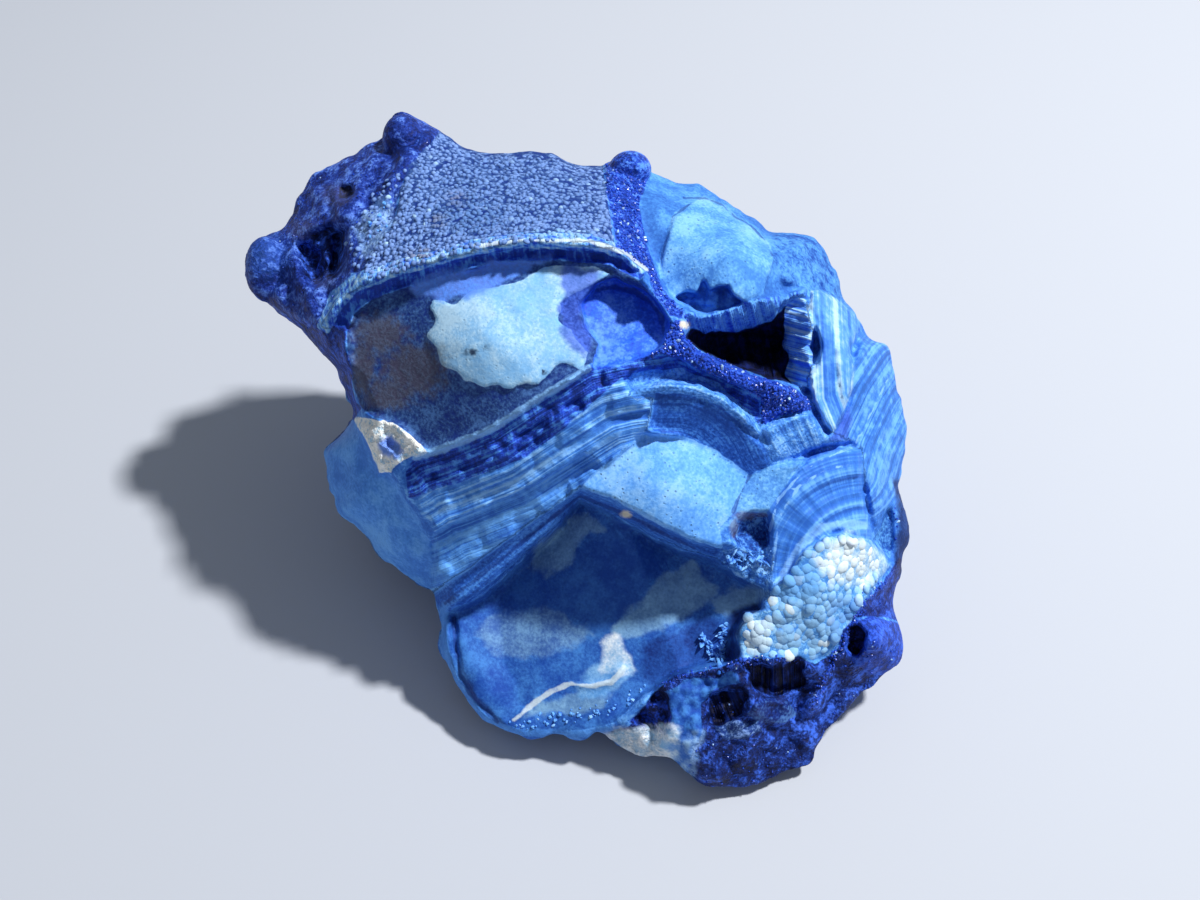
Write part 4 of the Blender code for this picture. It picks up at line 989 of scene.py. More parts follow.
def spreadInside(outline, spacing, tightness):
    # a staggered grid of places, each moved by chance, kept where it falls inside the outline
    low, high = np.min(outline, axis=0), np.max(outline, axis=0)
    rows = np.arange(low[1], high[1], spacing * tightness)
    columns = np.arange(low[0], high[0], spacing)
    v, u = np.meshgrid(rows, columns, indexing="ij")
    u = u + (np.arange(len(rows))[:, None] % 2) * spacing / 2
    u = (u + rng.uniform(-straying, straying, u.shape) * spacing).ravel()
    v = (v + rng.uniform(-straying, straying, v.shape) * spacing * tightness).ravel()
    inside = depthInside(u, v, outline) > leastInside
    return u[inside], v[inside]


def spreadAlong(line, spacing, width):
    # places along a chain of straight runs, moved by chance within its width
    points = np.array(line, float)
    lengths = np.hypot(*np.diff(points, axis=0).T)
    far = np.concatenate([[0], np.cumsum(lengths)])
    along = np.arange(0, far[-1], spacing)
    u = np.interp(along, far, points[:, 0]) + rng.uniform(-1, 1, len(along)) * width
    v = np.interp(along, far, points[:, 1]) + rng.uniform(-1, 1, len(along)) * width
    keep = insideRim(u, v, seamRim)
    return u[keep], v[keep]


def turnedAxes(axes, lean):
    # each set of axes leaned and spun by chance: out plus a share of the two across, then squared up again
    count = len(axes)
    spin = rng.uniform(0, 2 * math.pi, count)
    tilt = rng.uniform(0, lean, count)
    out = (axes[:, 2] + axes[:, 0] * (tilt * np.cos(spin))[:, None]
           + axes[:, 1] * (tilt * np.sin(spin))[:, None])
    out /= np.linalg.norm(out, axis=1, keepdims=True)
    twist = rng.uniform(0, 2 * math.pi, count)
    side = axes[:, 0] * np.cos(twist)[:, None] + axes[:, 1] * np.sin(twist)[:, None]
    side = np.cross(side, out)
    side /= np.linalg.norm(side, axis=1, keepdims=True)
    return np.stack([side, np.cross(out, side), out], axis=1)


def joinCopies(name, form, centres, axes, radii, smooth=True):
    # each copy is the form stretched by its radii along its own axes and moved to its centre
    formPoints, formFaces = form
    points = np.einsum("ktx,kxy->kty", formPoints[None] * radii[:, None, :], axes) + centres[:, None]
    shift = np.arange(len(centres))[:, None, None] * len(formPoints)
    faceSets = [(faces[None] + shift).reshape(-1, faces.shape[1]) for faces in formFaces]
    piece = makeMesh(name, points.reshape(-1, 3), faceSets)
    if not smooth:
        piece.data.shade_flat()
    setAttribute(piece.data, "rise", np.tile(formPoints[:, 2], len(centres)))
    setAttribute(piece.data, "chance", np.repeat(rng.random(len(centres)), len(formPoints)))
    u, v, height = faceCoordinates(points.reshape(-1, 3))
    setAttribute(piece.data, "face", np.stack([u, v, height], axis=-1))
    return piece


pebbles = dict(
    spacing=0.5, tightness=0.74, size=(0.2, 0.37), flatness=0.85, sink=0.08, lean=0.7, rings=4, spokes=7,
    rim=0.985, straySpacing=0.85, strays=[*blockBorder, (-21.5, 27.5), (-24, 24), (-26, 20)],
    look=dict(low="slate", high="mist", roughness=0.75, tips=0.96, tip="ice", tinted=[
        # soft spots on the grains: u, v, reach across and up, tone, how much of it shows
        (-14.3, 25, 1.6, 1.2, "rust", 0.4), (-16, 23, 1.4, 1.0, "ochre", 0.5),
        (-13, 23.6, 4.5, 2.4, "steel", 0.5), (-9, 25, 13, 7, "steel", 0.35),
        (-18, 19.5, 1.5, 0.8, "ochre", 0.5), (-4, 21.6, 4.0, 0.7, "frost", 0.6)]))


def makePebbles():
    u, v = spreadInside(areas["pebbledShoulder"]["outline"], pebbles["spacing"], pebbles["tightness"])
    strayU, strayV = spreadInside(pebbles["strays"], pebbles["straySpacing"], pebbles["tightness"])
    u, v = np.append(u, strayU), np.append(v, strayV)
    centres, axes = surfaceAt(u, v)
    keep = insideRim(u, v, pebbles["rim"])
    centres, axes = centres[keep], axes[keep]
    size = rng.uniform(*pebbles["size"], (len(centres), 3)) * [1, 1, pebbles["flatness"]]
    centres -= axes[:, 2] * pebbles["sink"]
    return joinCopies("pebbledCrust", grainForm(pebbles["rings"], pebbles["spokes"]), centres,
                      turnedAxes(axes, pebbles["lean"]), size)


beads = dict(
    spacing=0.74, tightness=0.86, margin=0.4, size=(0.5, 0.8), unevenness=(0.85, 1.1), flatness=0.55,
    sink=0.34, lean=0.2, rings=6, spokes=10,
    look=dict(low="dusty", high="frost", roughness=0.9, tips=0.9, tip="chalk", tinted=[
        (19.6, -12.8, 3.8, 4.0, "dustySky", 0.75), (24.4, -17, 2.8, 3.2, "dusty", 0.6),
        (15.4, -18.6, 3.4, 2.6, "chalk", 0.6), (20.5, -17.5, 3.6, 3.0, "greyBlue", 0.5),
        (25.2, -11, 4.4, 3.2, "cream", 0.6)]))


def makeBeads():
    outline = areas["whitePatch"]["outline"]
    u, v = spreadInside(outline, beads["spacing"], beads["tightness"])
    keep = depthInside(u, v, outline) > beads["margin"]
    u, v = u[keep], v[keep]
    size = rng.uniform(*beads["size"], len(u))
    centres, axes = surfaceAt(u, v)
    centres -= axes[:, 2] * beads["sink"] * size[:, None]
    size = size[:, None] * rng.uniform(*beads["unevenness"], (len(centres), 3)) * [1, 1, beads["flatness"]]
    return joinCopies("whiteBeads", grainForm(beads["rings"], beads["spokes"]), centres,
                      turnedAxes(axes, beads["lean"]), size)


crystals = dict(
    # area, spacing, tightness, least and most width, length as a share of the width
    fields=[("upperDruse", 0.3, 0.8, (0.08, 0.2), 1.7), ("druseArm", 0.3, 0.85, (0.08, 0.2), 1.7),
            ("darkRidge", 0.9, 0.9, (0.06, 0.12), 1.5), ("darkBlock", 1.0, 0.8, (0.05, 0.11), 1.5)],
    bare=["skyCrust", "lilacShelf", "eyeLens", "blackSlot"], bareBelow=[(-1, -27), (8, -27), (8, -34),
                                                                        (-1, -34)],
    seams=[(rightSeam, 0.08, 0.45), (ridgeSeam, 0.14, 0.4)], seamSize=(0.07, 0.16), seamLength=1.5,
    unevenness=(0.7, 1.2), thickness=0.8, lean=1.2, sink=0.05, rim=0.99,
    # the tip tone on a few of the crystals is a painted glint
    look=dict(low="navy", high="royal", roughness=0.25, tips=0.94, tip="ice", gloss=0.5))


def makeCrystals():
    sets = []
    bare = [areas[name]["outline"] for name in crystals["bare"]] + [crystals["bareBelow"]]
    for name, spacing, tightness, size, length in crystals["fields"]:
        u, v = spreadInside(areas[name]["outline"], spacing, tightness)
        keep = insideRim(u, v, crystals["rim"])
        keep &= np.max([depthInside(u, v, line) for line in bare], axis=0) < 0
        widths = rng.uniform(*size, keep.sum())
        lengths = widths * length * rng.uniform(*crystals["unevenness"], keep.sum())
        sets.append((u[keep], v[keep], widths, lengths))
    for line, spacing, width in crystals["seams"]:
        u, v = spreadAlong(line, spacing, width)
        widths = rng.uniform(*crystals["seamSize"], len(u))
        sets.append((u, v, widths, widths * crystals["seamLength"]))
    u, v, widths, lengths = (np.concatenate(parts) for parts in zip(*sets))
    centres, axes = surfaceAt(u, v)
    centres -= axes[:, 2] * crystals["sink"]
    return joinCopies("azuriteDruse", crystalForm(), centres, turnedAxes(axes, crystals["lean"]),
                      np.stack([widths, widths * crystals["thickness"], lengths], axis=-1), smooth=False)


crumbs = dict(
    # each line's course, the spacing along it and how far the grains lie to its sides
    lines=[([(-9, -27.4), (-5, -27), (0, -26.2), (4, -24.3)], 0.22, 0.8),
           ([(-22.6, 21.5), (-20.8, 24.8)], 0.3, 0.9), ([(12.6, -10.6), (15, -11.2), (17, -10.6)], 0.1, 0.8)],
    size=(0.1, 0.24), unevenness=(0.6, 1.3), lean=1.0,
    blades=[([(10, -18.6), (11, -20), (12, -21.5)], 0.12, 0.3),
            ([(12.4, -17.4), (12.2, -19.5), (12.2, -21.3)], 0.12, 0.3),
            ([(13.4, -10.6), (16.4, -11.4)], 0.16, 0.7)],
    bladeSize=(0.16, 0.3), bladeThickness=0.6, bladeLength=(0.4, 0.8), bladeLean=1.4,
    look=dict(low="azure", high="sky", roughness=0.8, tips=0.9, tip="paleSky"))


def makeCrumbs():
    # rounded crumbs, then thin blades that lean every way
    sets = []
    for kind in ("lines", "blades"):
        places = [spreadAlong(line, spacing, width) for line, spacing, width in crumbs[kind]]
        u, v = (np.concatenate(parts) for parts in zip(*places))
        if kind == "lines":
            size = rng.uniform(*crumbs["size"], (len(u), 1)) * rng.uniform(*crumbs["unevenness"], (len(u), 3))
            lean = crumbs["lean"]
        else:
            widths = rng.uniform(*crumbs["bladeSize"], len(u))
            lengths = rng.uniform(*crumbs["bladeLength"], len(u))
            size = np.stack([widths, widths * crumbs["bladeThickness"], lengths], axis=-1)
            lean = crumbs["bladeLean"]
        centres, axes = surfaceAt(u, v)
        sets.append((centres, turnedAxes(axes, lean), size))
    centres, axes, size = (np.concatenate(parts) for parts in zip(*sets))
    return joinCopies("paleCrumbs", crystalForm(5, 0.3), centres, axes, size, smooth=False)


class Wire:
    # a node's output: + - * / and ** on it add Math nodes
    def __init__(self, shader, socket):
        self.shader, self.socket = shader, socket

    def __add__(self, other):
        return self.shader.math("ADD", self, other)

    def __sub__(self, other):
        return self.shader.math("SUBTRACT", self, other)

    def __rsub__(self, other):
        return self.shader.math("SUBTRACT", other, self)

    def __mul__(self, other):
        return self.shader.math("MULTIPLY", self, other)

    def __truediv__(self, other):
        return self.shader.math("DIVIDE", self, other)

    def __pow__(self, other):
        return self.shader.math("POWER", self, other)

    __radd__ = __add__
    __rmul__ = __mul__


class Shader:
    # one material's nodes, made by value
    def __init__(self, name):
        self.material = bpy.data.materials.new(name)
        self.material.use_nodes = True
        self.tree = self.material.node_tree
        self.tree.nodes.clear()
        self.point = self.node("ShaderNodeVectorMath", dict(operation="SCALE"),
                               {0: self.node("ShaderNodeTexCoord", output="Object"), "Scale": 1 / mm})
        self.made = {}

    def node(self, kind, settings=None, values=None, output=0):
        made = self.tree.nodes.new(kind)
        for name, value in (settings or {}).items():
            if name == "stops":
                fillRamp(made.color_ramp, value)
            else:
                setattr(made, name, value)
        for name, value in (values or {}).items():
            if isinstance(value, Wire):
                self.tree.links.new(value.socket, made.inputs[name])
            else:
                made.inputs[name].default_value = value
        return Wire(self, made.outputs[output])

    def math(self, operation, first, second):
        return self.node("ShaderNodeMath", dict(operation=operation), {0: first, 1: second})

    def once(self, key, make):
        # a node that several others read is made once
        if key not in self.made:
            self.made[key] = make()
        return self.made[key]

    def attribute(self, name, output="Fac"):
        return self.once((name, output), lambda: self.node(
            "ShaderNodeAttribute", dict(attribute_name=name), output=output))

    def mix(self, share, first, second, blend="MIX"):
        # a colour between two, or one over the other in another blend
        return self.node("ShaderNodeMix", dict(data_type="RGBA", blend_type=blend),
                         {0: share, 6: first, 7: second}, 2)

    def noise(self, size, detail=3.0, where=None, ruggedness=0.55):
        # 0 to 1, with features about size mm across
        where = where or self.point
        values = {"Vector": where, "Scale": 1 / size, "Detail": detail, "Roughness": ruggedness}
        return self.once((size, detail, where.socket, ruggedness),
                         lambda: self.node("ShaderNodeTexNoise", None, values))

    def mottling(self, name):
        size, detail, ruggedness = mottled[name]
        return self.noise(size, detail, ruggedness=ruggedness)

    def cells(self, size):
        # distance to the nearest of a scatter of places about size mm apart, as a share of size
        return self.node("ShaderNodeTexVoronoi", dict(feature="F1"),
                         {"Vector": self.point, "Scale": 1 / size}, "Distance")

    def step(self, low, high, value):
        # 0 below low and 1 above high, eased between
        return self.node("ShaderNodeMapRange", dict(interpolation_type="SMOOTHSTEP"),
                         {"Value": value, "From Min": low, "From Max": high})

    def dot(self, first, second):
        # how far one vector reaches along another: their parts multiplied and added up
        return self.node("ShaderNodeVectorMath", dict(operation="DOT_PRODUCT"), {0: first, 1: second},
                         "Value")

    def join(self, x, y, z):
        return self.node("ShaderNodeCombineXYZ", None, {0: x, 1: y, 2: z})

    def part(self, vector, axis):
        return self.once((vector.socket, axis), lambda: self.node(
            "ShaderNodeSeparateXYZ", None, {0: vector}, axis))

    def spot(self, u, v, radiusU, radiusV, raggedness=0.6, size=1.5):
        # a soft round spot of the face, 1 at its middle, with a ragged edge
        face = self.attribute("face", "Vector")
        sideways, upward = (self.part(face, 0) - u) / radiusU, (self.part(face, 1) - v) / radiusV
        away = (sideways ** 2.0 + upward ** 2.0) ** 0.5
        return 1 - self.step(0.45, 1.0, away + (self.noise(size, 4.0) - 0.5) * (2 * raggedness))

    def finish(self, colour, roughness, lift=None, gloss=0.15):
        # lift is the height of the fine relief in mm
        values = {"Base Color": colour, "Roughness": roughness, "Specular IOR Level": gloss}
        if lift is not None:
            values["Normal"] = self.node("ShaderNodeBump", None,
                                         {"Height": lift * mm, "Distance": 1.0, "Strength": 1.0})
        surface = self.node("ShaderNodeBsdfPrincipled", None, values)
        output = self.tree.nodes.new("ShaderNodeOutputMaterial")
        self.tree.links.new(surface.socket, output.inputs["Surface"])
        return self.material


def fillRamp(ramp, stops):
    while len(ramp.elements) < len(stops):
        ramp.elements.new(0.5)
    for element, (position, colour) in zip(ramp.elements, stops):
        element.position, element.color = position, colour


def tone(name):
    # a named tone as the renderer's linear values
    parts = np.array(tones[name]) / 255
    linear = np.where(parts <= 0.04045, parts / 12.92, ((parts + 0.055) / 1.055) ** 2.4)
    return (*linear.tolist(), 1.0)


# The patterns that a finish is mixed from: layers along a guide, fine lines along it and fibres across it,
# each with its turns a mm across and lengthwise; three sizes of mottling, each with its size in mm, detail
# and ruggedness; and the height of the cobbles
layered = dict(bands=(1.2, 0.03), lines=(3.6, 0.06), fibres=(2.6, 0.12))
mottled = dict(mottle=(4.5, 5, 0.55), crumb=(1.1, 6, 0.62), grit=(0.3, 3, 0.55))
patternNames = [*layered, *mottled, "cobble"]
patternSpan, rampEnds = (0.36, 0.64), (0.05, 0.95)    # the part of the mix and of a ramp that the tones take

# The tones of the stone, as they look on screen
tones = {
    "black": (4, 6, 24), "ink": (8, 16, 56), "midnight": (14, 30, 92), "navy": (22, 48, 124),
    "indigo": (32, 62, 158), "royal": (36, 76, 196), "cobalt": (62, 108, 226), "vivid": (44, 102, 226),
    "electric": (90, 146, 245), "violet": (66, 100, 212), "lilac": (96, 136, 226), "mist": (118, 150, 210),
    "deepAzure": (26, 72, 160), "azure": (46, 102, 196), "marine": (62, 124, 214), "bright": (82, 148, 232),
    "sky": (108, 172, 242), "paleSky": (140, 194, 248),
    "slate": (44, 76, 136), "steel": (70, 110, 170), "greyBlue": (96, 140, 184), "paleGrey": (140, 184, 214),
    "dusk": (46, 98, 178), "dusty": (64, 124, 200), "dustySky": (92, 156, 220), "dustyPale": (124, 182, 232),
    "frost": (144, 192, 230), "ice": (176, 212, 236), "chalk": (208, 222, 226), "cream": (240, 240, 226),
    "white": (252, 252, 246), "ochre": (118, 106, 90), "umber": (92, 84, 74), "rust": (124, 94, 70),
    "tan": (222, 214, 192), "smoke": (74, 76, 98), "floor": (184, 188, 196)}

# How each area is finished: its dark, middle and light tones, the course that its layers follow, the share of
# each pattern in the mix that runs between the tones, the roughness, the height in mm of the fine relief and
# how much of it is pitted
finishes = {
    "ground": dict(tones="azure marine sky", mottle=1, crumb=2, grit=1, rough=0.65, lift=0.06),
    "undercutGap": dict(tones="azure bright sky", crumb=1, grit=1, rough=0.6, lift=0.08),
    "sideCrust": dict(tones="midnight indigo cobalt", mottle=1, crumb=2, grit=1, rough=0.5, lift=0.2),
    "leftRim": dict(tones="midnight indigo cobalt", crumb=2, grit=1, rough=0.5, lift=0.15),
    "holeLip": dict(tones="royal bright sky", guide=lipFibres, fibres=2, crumb=1, grit=1, rough=0.5,
                    lift=0.16),
    "darkBlock": dict(tones="midnight indigo lilac", mottle=1, crumb=2, grit=1, rough=0.5, lift=0.16),
    "pebbledShoulder": dict(tones="navy slate mist", guide=rimLine, crumb=2, grit=1, rough=0.7, lift=0.1),
    "leftDome": dict(tones="marine bright sky", mottle=2, crumb=1, grit=1, rough=0.6, lift=0.03),
    "veinCorner": dict(tones="ice white white", crumb=2, grit=1, rough=0.8, lift=0.2),
    "lens": dict(tones="navy slate steel", mottle=1, crumb=2, grit=2, rough=0.65, lift=0.03),
    "flake": dict(tones="dustyPale frost ice", mottle=2, crumb=1, grit=1, rough=0.75, lift=0.02, pits=0.4),
    "smallHollow": dict(tones="royal vivid electric", guide=hollowCentre, mottle=2, crumb=1, grit=1,
                        rough=0.55, lift=0.02),
    "rimFace": dict(tones="indigo royal bright", guide=rimLine, fibres=1.4, crumb=3, rough=0.6, lift=0.14),
    "rimLip": dict(tones="royal sky ice", fibres=1.2, crumb=2, rough=0.7, lift=0.12),
    "darkBand": dict(tones="navy royal bright", guide=ridgeLine, fibres=0.6, lines=2, crumb=3, rough=0.5,
                     lift=0.2),
    "layeredFace": dict(tones="azure bright paleSky", guide=ridgeLine, lines=3, bands=2, crumb=2, rough=0.65,
                        lift=0.1),
    "lowerLayers": dict(tones="azure bright sky", lines=3, bands=1, crumb=2, rough=0.65, lift=0.08),
    "undercutWall": dict(tones="deepAzure azure bright", guide=wallEdge, bands=2, lines=1, grit=1, rough=0.6,
                         lift=0.06),
    "bowl": dict(tones="deepAzure dusk dusty", guide=bowlRim, mottle=2, crumb=1, grit=1, rough=0.65,
                 lift=0.02,
                 pits=0.2),
    "shelf": dict(tones="dusk bright paleSky", guide=shelfLine, lines=1, crumb=1, grit=1, rough=0.65,
                  lift=0.06),
    "curvedWall": dict(tones="deepAzure azure bright", guide=shelfLine, lines=1, mottle=1, grit=1, rough=0.6,
                       lift=0.04),
    "platform": dict(tones="bright sky paleSky", mottle=2, crumb=1, grit=1, rough=0.75, lift=0.02, pits=1),
    "secondFacet": dict(tones="dusty dustySky dustyPale", guide=shelfLine, mottle=1, crumb=1, grit=1,
                        rough=0.65, lift=0.02, pits=0.8),
    "upperDome": dict(tones="dusk dusty dustySky", guide=domeLine, mottle=2, crumb=1, grit=1, rough=0.7,
                      lift=0.03, pits=0.3),
    "domeShell": dict(tones="dusty dustySky dustyPale", mottle=2, crumb=1, grit=1, rough=0.7, lift=0.04,
                      pits=1),
    "roughKnob": dict(tones="deepAzure dusty dustySky", mottle=1, crumb=2, grit=1, rough=0.7, lift=0.08,
                      pits=0.5),
    "brokenWindow": dict(tones="deepAzure azure bright", mottle=1, crumb=2, rough=0.65, lift=0.04),
    "upperDruse": dict(tones="navy royal electric", crumb=2, grit=1, rough=0.4, lift=0.2),
    "druseArm": dict(tones="navy royal cobalt", crumb=2, grit=1, rough=0.4, lift=0.2),
    "blackHole": dict(tones="black ink midnight", fibres=1, crumb=2, rough=0.8, lift=0.2),
    "holeBrush": dict(tones="cobalt sky ice", guide=brushFibres, fibres=3, crumb=1, rough=0.5, lift=0.14),
    "ribbedBlock": dict(tones="azure dustySky ice", guide=blockLine, bands=2, lines=1, crumb=1,
                        rough=0.6, lift=0.08),
    "rightSlab": dict(tones="dusk marine sky", guide=slabLine, bands=1, lines=2, crumb=2, rough=0.55,
                      lift=0.07),
    "ribbedRows": dict(tones="azure bright paleSky", guide=fanCentre, fibres=2, bands=1, grit=1, rough=0.55,
                       lift=0.12),
    "fan": dict(tones="azure marine sky", guide=fanCentre, bands=3, lines=1, fibres=1.4, crumb=1, rough=0.55,
                lift=0.08),
    "whitePatch": dict(tones="dusty dustySky frost", guide=fanCentre, crumb=2, grit=1, rough=0.75, lift=0.06),
    "notch": dict(tones="navy azure sky", crumb=2, grit=1, rough=0.8, lift=0.2),
    "crumbledCorner": dict(tones="azure bright paleSky", crumb=2, grit=1, rough=0.75, lift=0.2),
    "darkRidge": dict(tones="ink navy cobalt", mottle=1, crumb=2, grit=1, rough=0.5, lift=0.2),
    "blackSlot": dict(tones="black ink navy", guide=slotFibres, fibres=2, crumb=1, rough=0.5, lift=0.15),
    "eyeLens": dict(tones="ink navy steel", mottle=1, bands=1, grit=1, rough=0.5, lift=0.03),
    "lilacShelf": dict(tones="navy slate mist", crumb=1, grit=1, rough=0.7, lift=0.06),
    "lowHollow": dict(tones="black ink navy", guide=lowFibres, fibres=1, crumb=1, rough=0.5, lift=0.15),
    "skyCrust": dict(tones="deepAzure dusk dusty", crumb=1, grit=1, cobble=2, spacing=0.9, rough=0.7,
                     lift=0.05),
    "purpleWedge": dict(tones="ink midnight royal", crumb=2, grit=1, rough=0.5, lift=0.15),
    "tubeBall": dict(tones="navy royal cobalt", crumb=2, grit=1, rough=0.5, lift=0.16),
    "tubeMouth": dict(tones="black ink navy", crumb=1, grit=1, rough=0.7, lift=0.1),
    "tealRecess": dict(tones="deepAzure dusk dustySky", mottle=1, crumb=1, grit=1, rough=0.6, lift=0.1),
    "blockPit": dict(tones="ink navy cobalt", crumb=2, grit=1, rough=0.6, lift=0.2),
    "smallPit": dict(tones="black ink navy", crumb=1, grit=1, rough=0.7, lift=0.1),
}

# Markings laid over the areas: the tones of their mottling, how much of them shows, and their outlines
tints = {
    "tintViolet": ("lilac electric", 0.9, [
        [(-18.5, 15.5), (-14.5, 15), (-12.5, 15.7), (-8.5, 17), (-7, 18), (-5, 19.2), (-11, 18.8),
         (-15, 17.8), (-19, 16.6)],
        [(-21.8, 0.4), (-21.1, 1), (-20.3, 0.3), (-20.2, -0.5), (-21.2, -0.5)]]),
    "tintShade": ("indigo violet", 0.8, [
        [(-3.4, 18.4), (0.2, 17.8), (-1.6, 15.4), (-1.9, 13.2), (-0.6, 10.6), (-1.4, 9), (-3, 10.8),
         (-4.2, 12.9), (-4.2, 14.4)],
        [(25.2, 6), (24.5, 4), (23.2, 1), (24.8, 0.9), (25.3, 5)]]),
    # painted shade over the upper part of the bowl, below the wall and the platform
    "tintDeep": ("deepAzure dusk", 0.75, [
        [(-6.5, -9.6), (-3, -12.3), (-2, -10), (1, -8), (6, -10.5), (5.2, -13.4), (1.3, -17.9), (-0.3, -18.7),
         (-2.6, -17), (-5.3, -15.9), (-8.7, -16.1), (-10, -14), (-8, -11.5)]]),
    "tintShadow": ("midnight deepAzure", 0.75, [
        [(3.4, -19.6), (7.6, -18), (10.6, -16.4), (12.4, -17), (13, -20.8), (9.4, -22), (7, -22.6),
         (5, -23.6)]]),
    "tintGrey": ("greyBlue paleGrey", 0.75, [
        [(-7, -11.7), (-5, -12.4), (-3.8, -12.2), (-2.6, -10.2), (-1.5, -8.3), (0.5, -8), (-1.4, -6.8),
         (-4, -7.5), (-6, -9.5)],
        [(1.3, -17.9), (3.6, -15.6), (5.2, -13.4), (7.4, -11.8), (9.6, -11.6), (10.8, -12.4), (11.4, -14),
         (10.2, -15.8), (7.6, -17.4), (4.6, -18.4), (2.6, -18.8)],
        [(11.5, -15.5), (13, -14), (15.5, -13.6), (16.5, -14.5), (12.5, -16.7)]]),
    "tintLitGrey": ("steel paleGrey", 0.6, [
        [(-12.3, -18.4), (-11.4, -16.8), (-8.7, -16.1), (-5.3, -15.9), (-2.6, -17), (-0.3, -18.7),
         (-3.1, -19.5), (-7, -20.7), (-10.9, -20.1)]]),
    "tintGreen": ("greyBlue paleGrey", 0.75, [
        [(-8.8, -27.3), (-5.9, -24.9), (-3.7, -24.4), (-0.3, -24.6), (1.6, -24.2), (0.4, -25.8),
         (-2.6, -26.4), (-5.4, -26.2)]]),
    "tintPaleBlue": ("dustySky frost", 0.8, [
        [(3.1, -21.6), (2.9, -22.6), (2.2, -23.8), (0.6, -24.8), (-1.8, -24.6), (-2.6, -23.4), (-1, -22),
         (0.4, -21.2)]]),
    "tintCream": ("frost white", 0.9, [
        [(-0.3, -18.9), (1.9, -18.9), (3.3, -20.9), (3.1, -22), (1.6, -22.5), (0.2, -22), (0.5, -20.7)],
        [(-0.5, -28.6), (2.5, -27.6), (5, -27.5), (8, -28.2), (7.4, -31.5), (4.5, -32), (0, -31)]]),
    "tintFrost": ("frost chalk", 0.75, [
        [(22, -9.6), (24.6, -8.4), (27.2, -9.2), (28.8, -11.6), (27.4, -13.6), (25, -13.4), (22.4, -12)]]),
    "tintTurquoise": ("marine ice", 0.6, [
        [(-24, 22.5), (-22.8, 25.2), (-20.6, 25.4), (-20.4, 22.6), (-22.4, 20.8), (-23.6, 19.6), (-24.4, 21)],
        [(7, -29.5), (9, -28.5), (10.5, -28), (10, -31), (9, -33.5), (7, -32.5)]]),
    "tintNavy": ("ink navy", 0.88, [
        [(12.5, -17), (13.5, -16), (16, -15.8), (13.8, -17.5), (13.6, -19), (14.2, -21), (13, -21)],
        [(29.2, -3), (33, -3), (33, -22), (30, -13.5), (29.6, -11), (30, -8)]]),
}

# Drawn lines: tone, how much of it shows, and each line's half width and course
lines = {
    "linePale": ("paleSky", 0.7, [
        (0.45, ridgeLine[1:6]),
        (0.16, [(17.2, -12), (18, -6.5), (20, -3.5), (23, -1.8), (25.3, -1.5)]),
        (0.5, [(17.8, -13.2), (18.8, -11.5), (20, -9.6), (22, -7.8), (24, -7.3), (26.4, -7.6)]),
        (0.14, [(17, -8), (17.8, -5), (19.5, -3), (21.5, -1.3), (24, -0.2), (25.5, 0.3)]),
        (0.16, [(25.5, 0.5), (27, 3.5), (29, 7.5)])]),
    "lineSky": ("bright", 0.7, [
        (0.5, [(-15.5, -15.5), (-15.7, -18), (-15.3, -21), (-14.2, -23.6), (-11.4, -26.9), (-8.4, -28.3),
               (-3, -28.5), (1, -27.9)])]),
    # painted shade: dark lines in the cracks, the crease and the shell's groove, along the small hollow's upper
    # rim and just under the edge above the undercut wall
    "lineDark": ("navy", 0.6, [
        (0.3, shellGap), (0.16, facetCrease), (0.14, domeCrack), (0.14, domeStep),
        (0.3, [(-0.2, 16), (1.5, 16.3), (3.4, 15.9), (5, 14.8), (6.1, 13.3), (6.4, 11.6)]),
        (0.25, [(-15.8, -15.6), (-12, -12.6), (-8, -9.4), (-2, -4.6), (2.5, -6.4), (9.5, -9.9)])]),
    "lineFrost": ("chalk", 0.75, [
        (0.3, creamSeam), (0.25, rimLine[4:])]),
}

# Soft spots: tone, how much of it shows, and each one's place and its reach across and up
spots = {
    "spotOchre": ("umber", 0.6, [(-22, 11.6, 3.6, 2.8), (-23.6, 8.5, 1.6, 4), (-18.5, 8, 4.4, 3.6),
                                 (-21, 5.6, 3.4, 2.2)]),
    "spotDark": ("ink", 0.9, [(-13, 9.8, 0.9, 0.5), (-5.6, 7.8, 0.42, 0.42), (-5.1, 17.3, 0.3, 0.26),
                              (-6, 16.8, 0.26, 0.26)]),
    "spotPale": ("tan", 0.9, [(2.6, -6.4, 0.75, 0.5), (8.4, 12.5, 0.8, 0.55)]),
    "spotRust": ("ochre", 0.5, [(14.6, -6.6, 1.6, 0.6), (13.4, -7.8, 0.6, 1.2), (16.2, -6.5, 0.8, 0.35)]),
    "spotSmoke": ("smoke", 0.4, [(-29.8, 22, 1.8, 1.4), (-26.5, 25.5, 2.0, 1.4), (-27.5, 17, 1.4, 1.4)]),
    "spotAzure": ("dusk", 0.25, [(-33.6, 19.4, 3.4, 3.0)]),
    # painted shade on the curved wall just under the shelf
    "spotDeep": ("deepAzure", 0.6, [(10.3, 3.5, 2.8, 1.3), (13.6, 2.0, 2.2, 1.6)]),
}

# The hidden back: pale domes under a dark crust, and the broken base
backTones = dict(domes="dusk dusty dustyPale", crust="midnight navy azure", base="steel paleGrey")
backFinish = dict(mottle=1, crumb=1, grit=1, rough=0.6, lift=0.12)


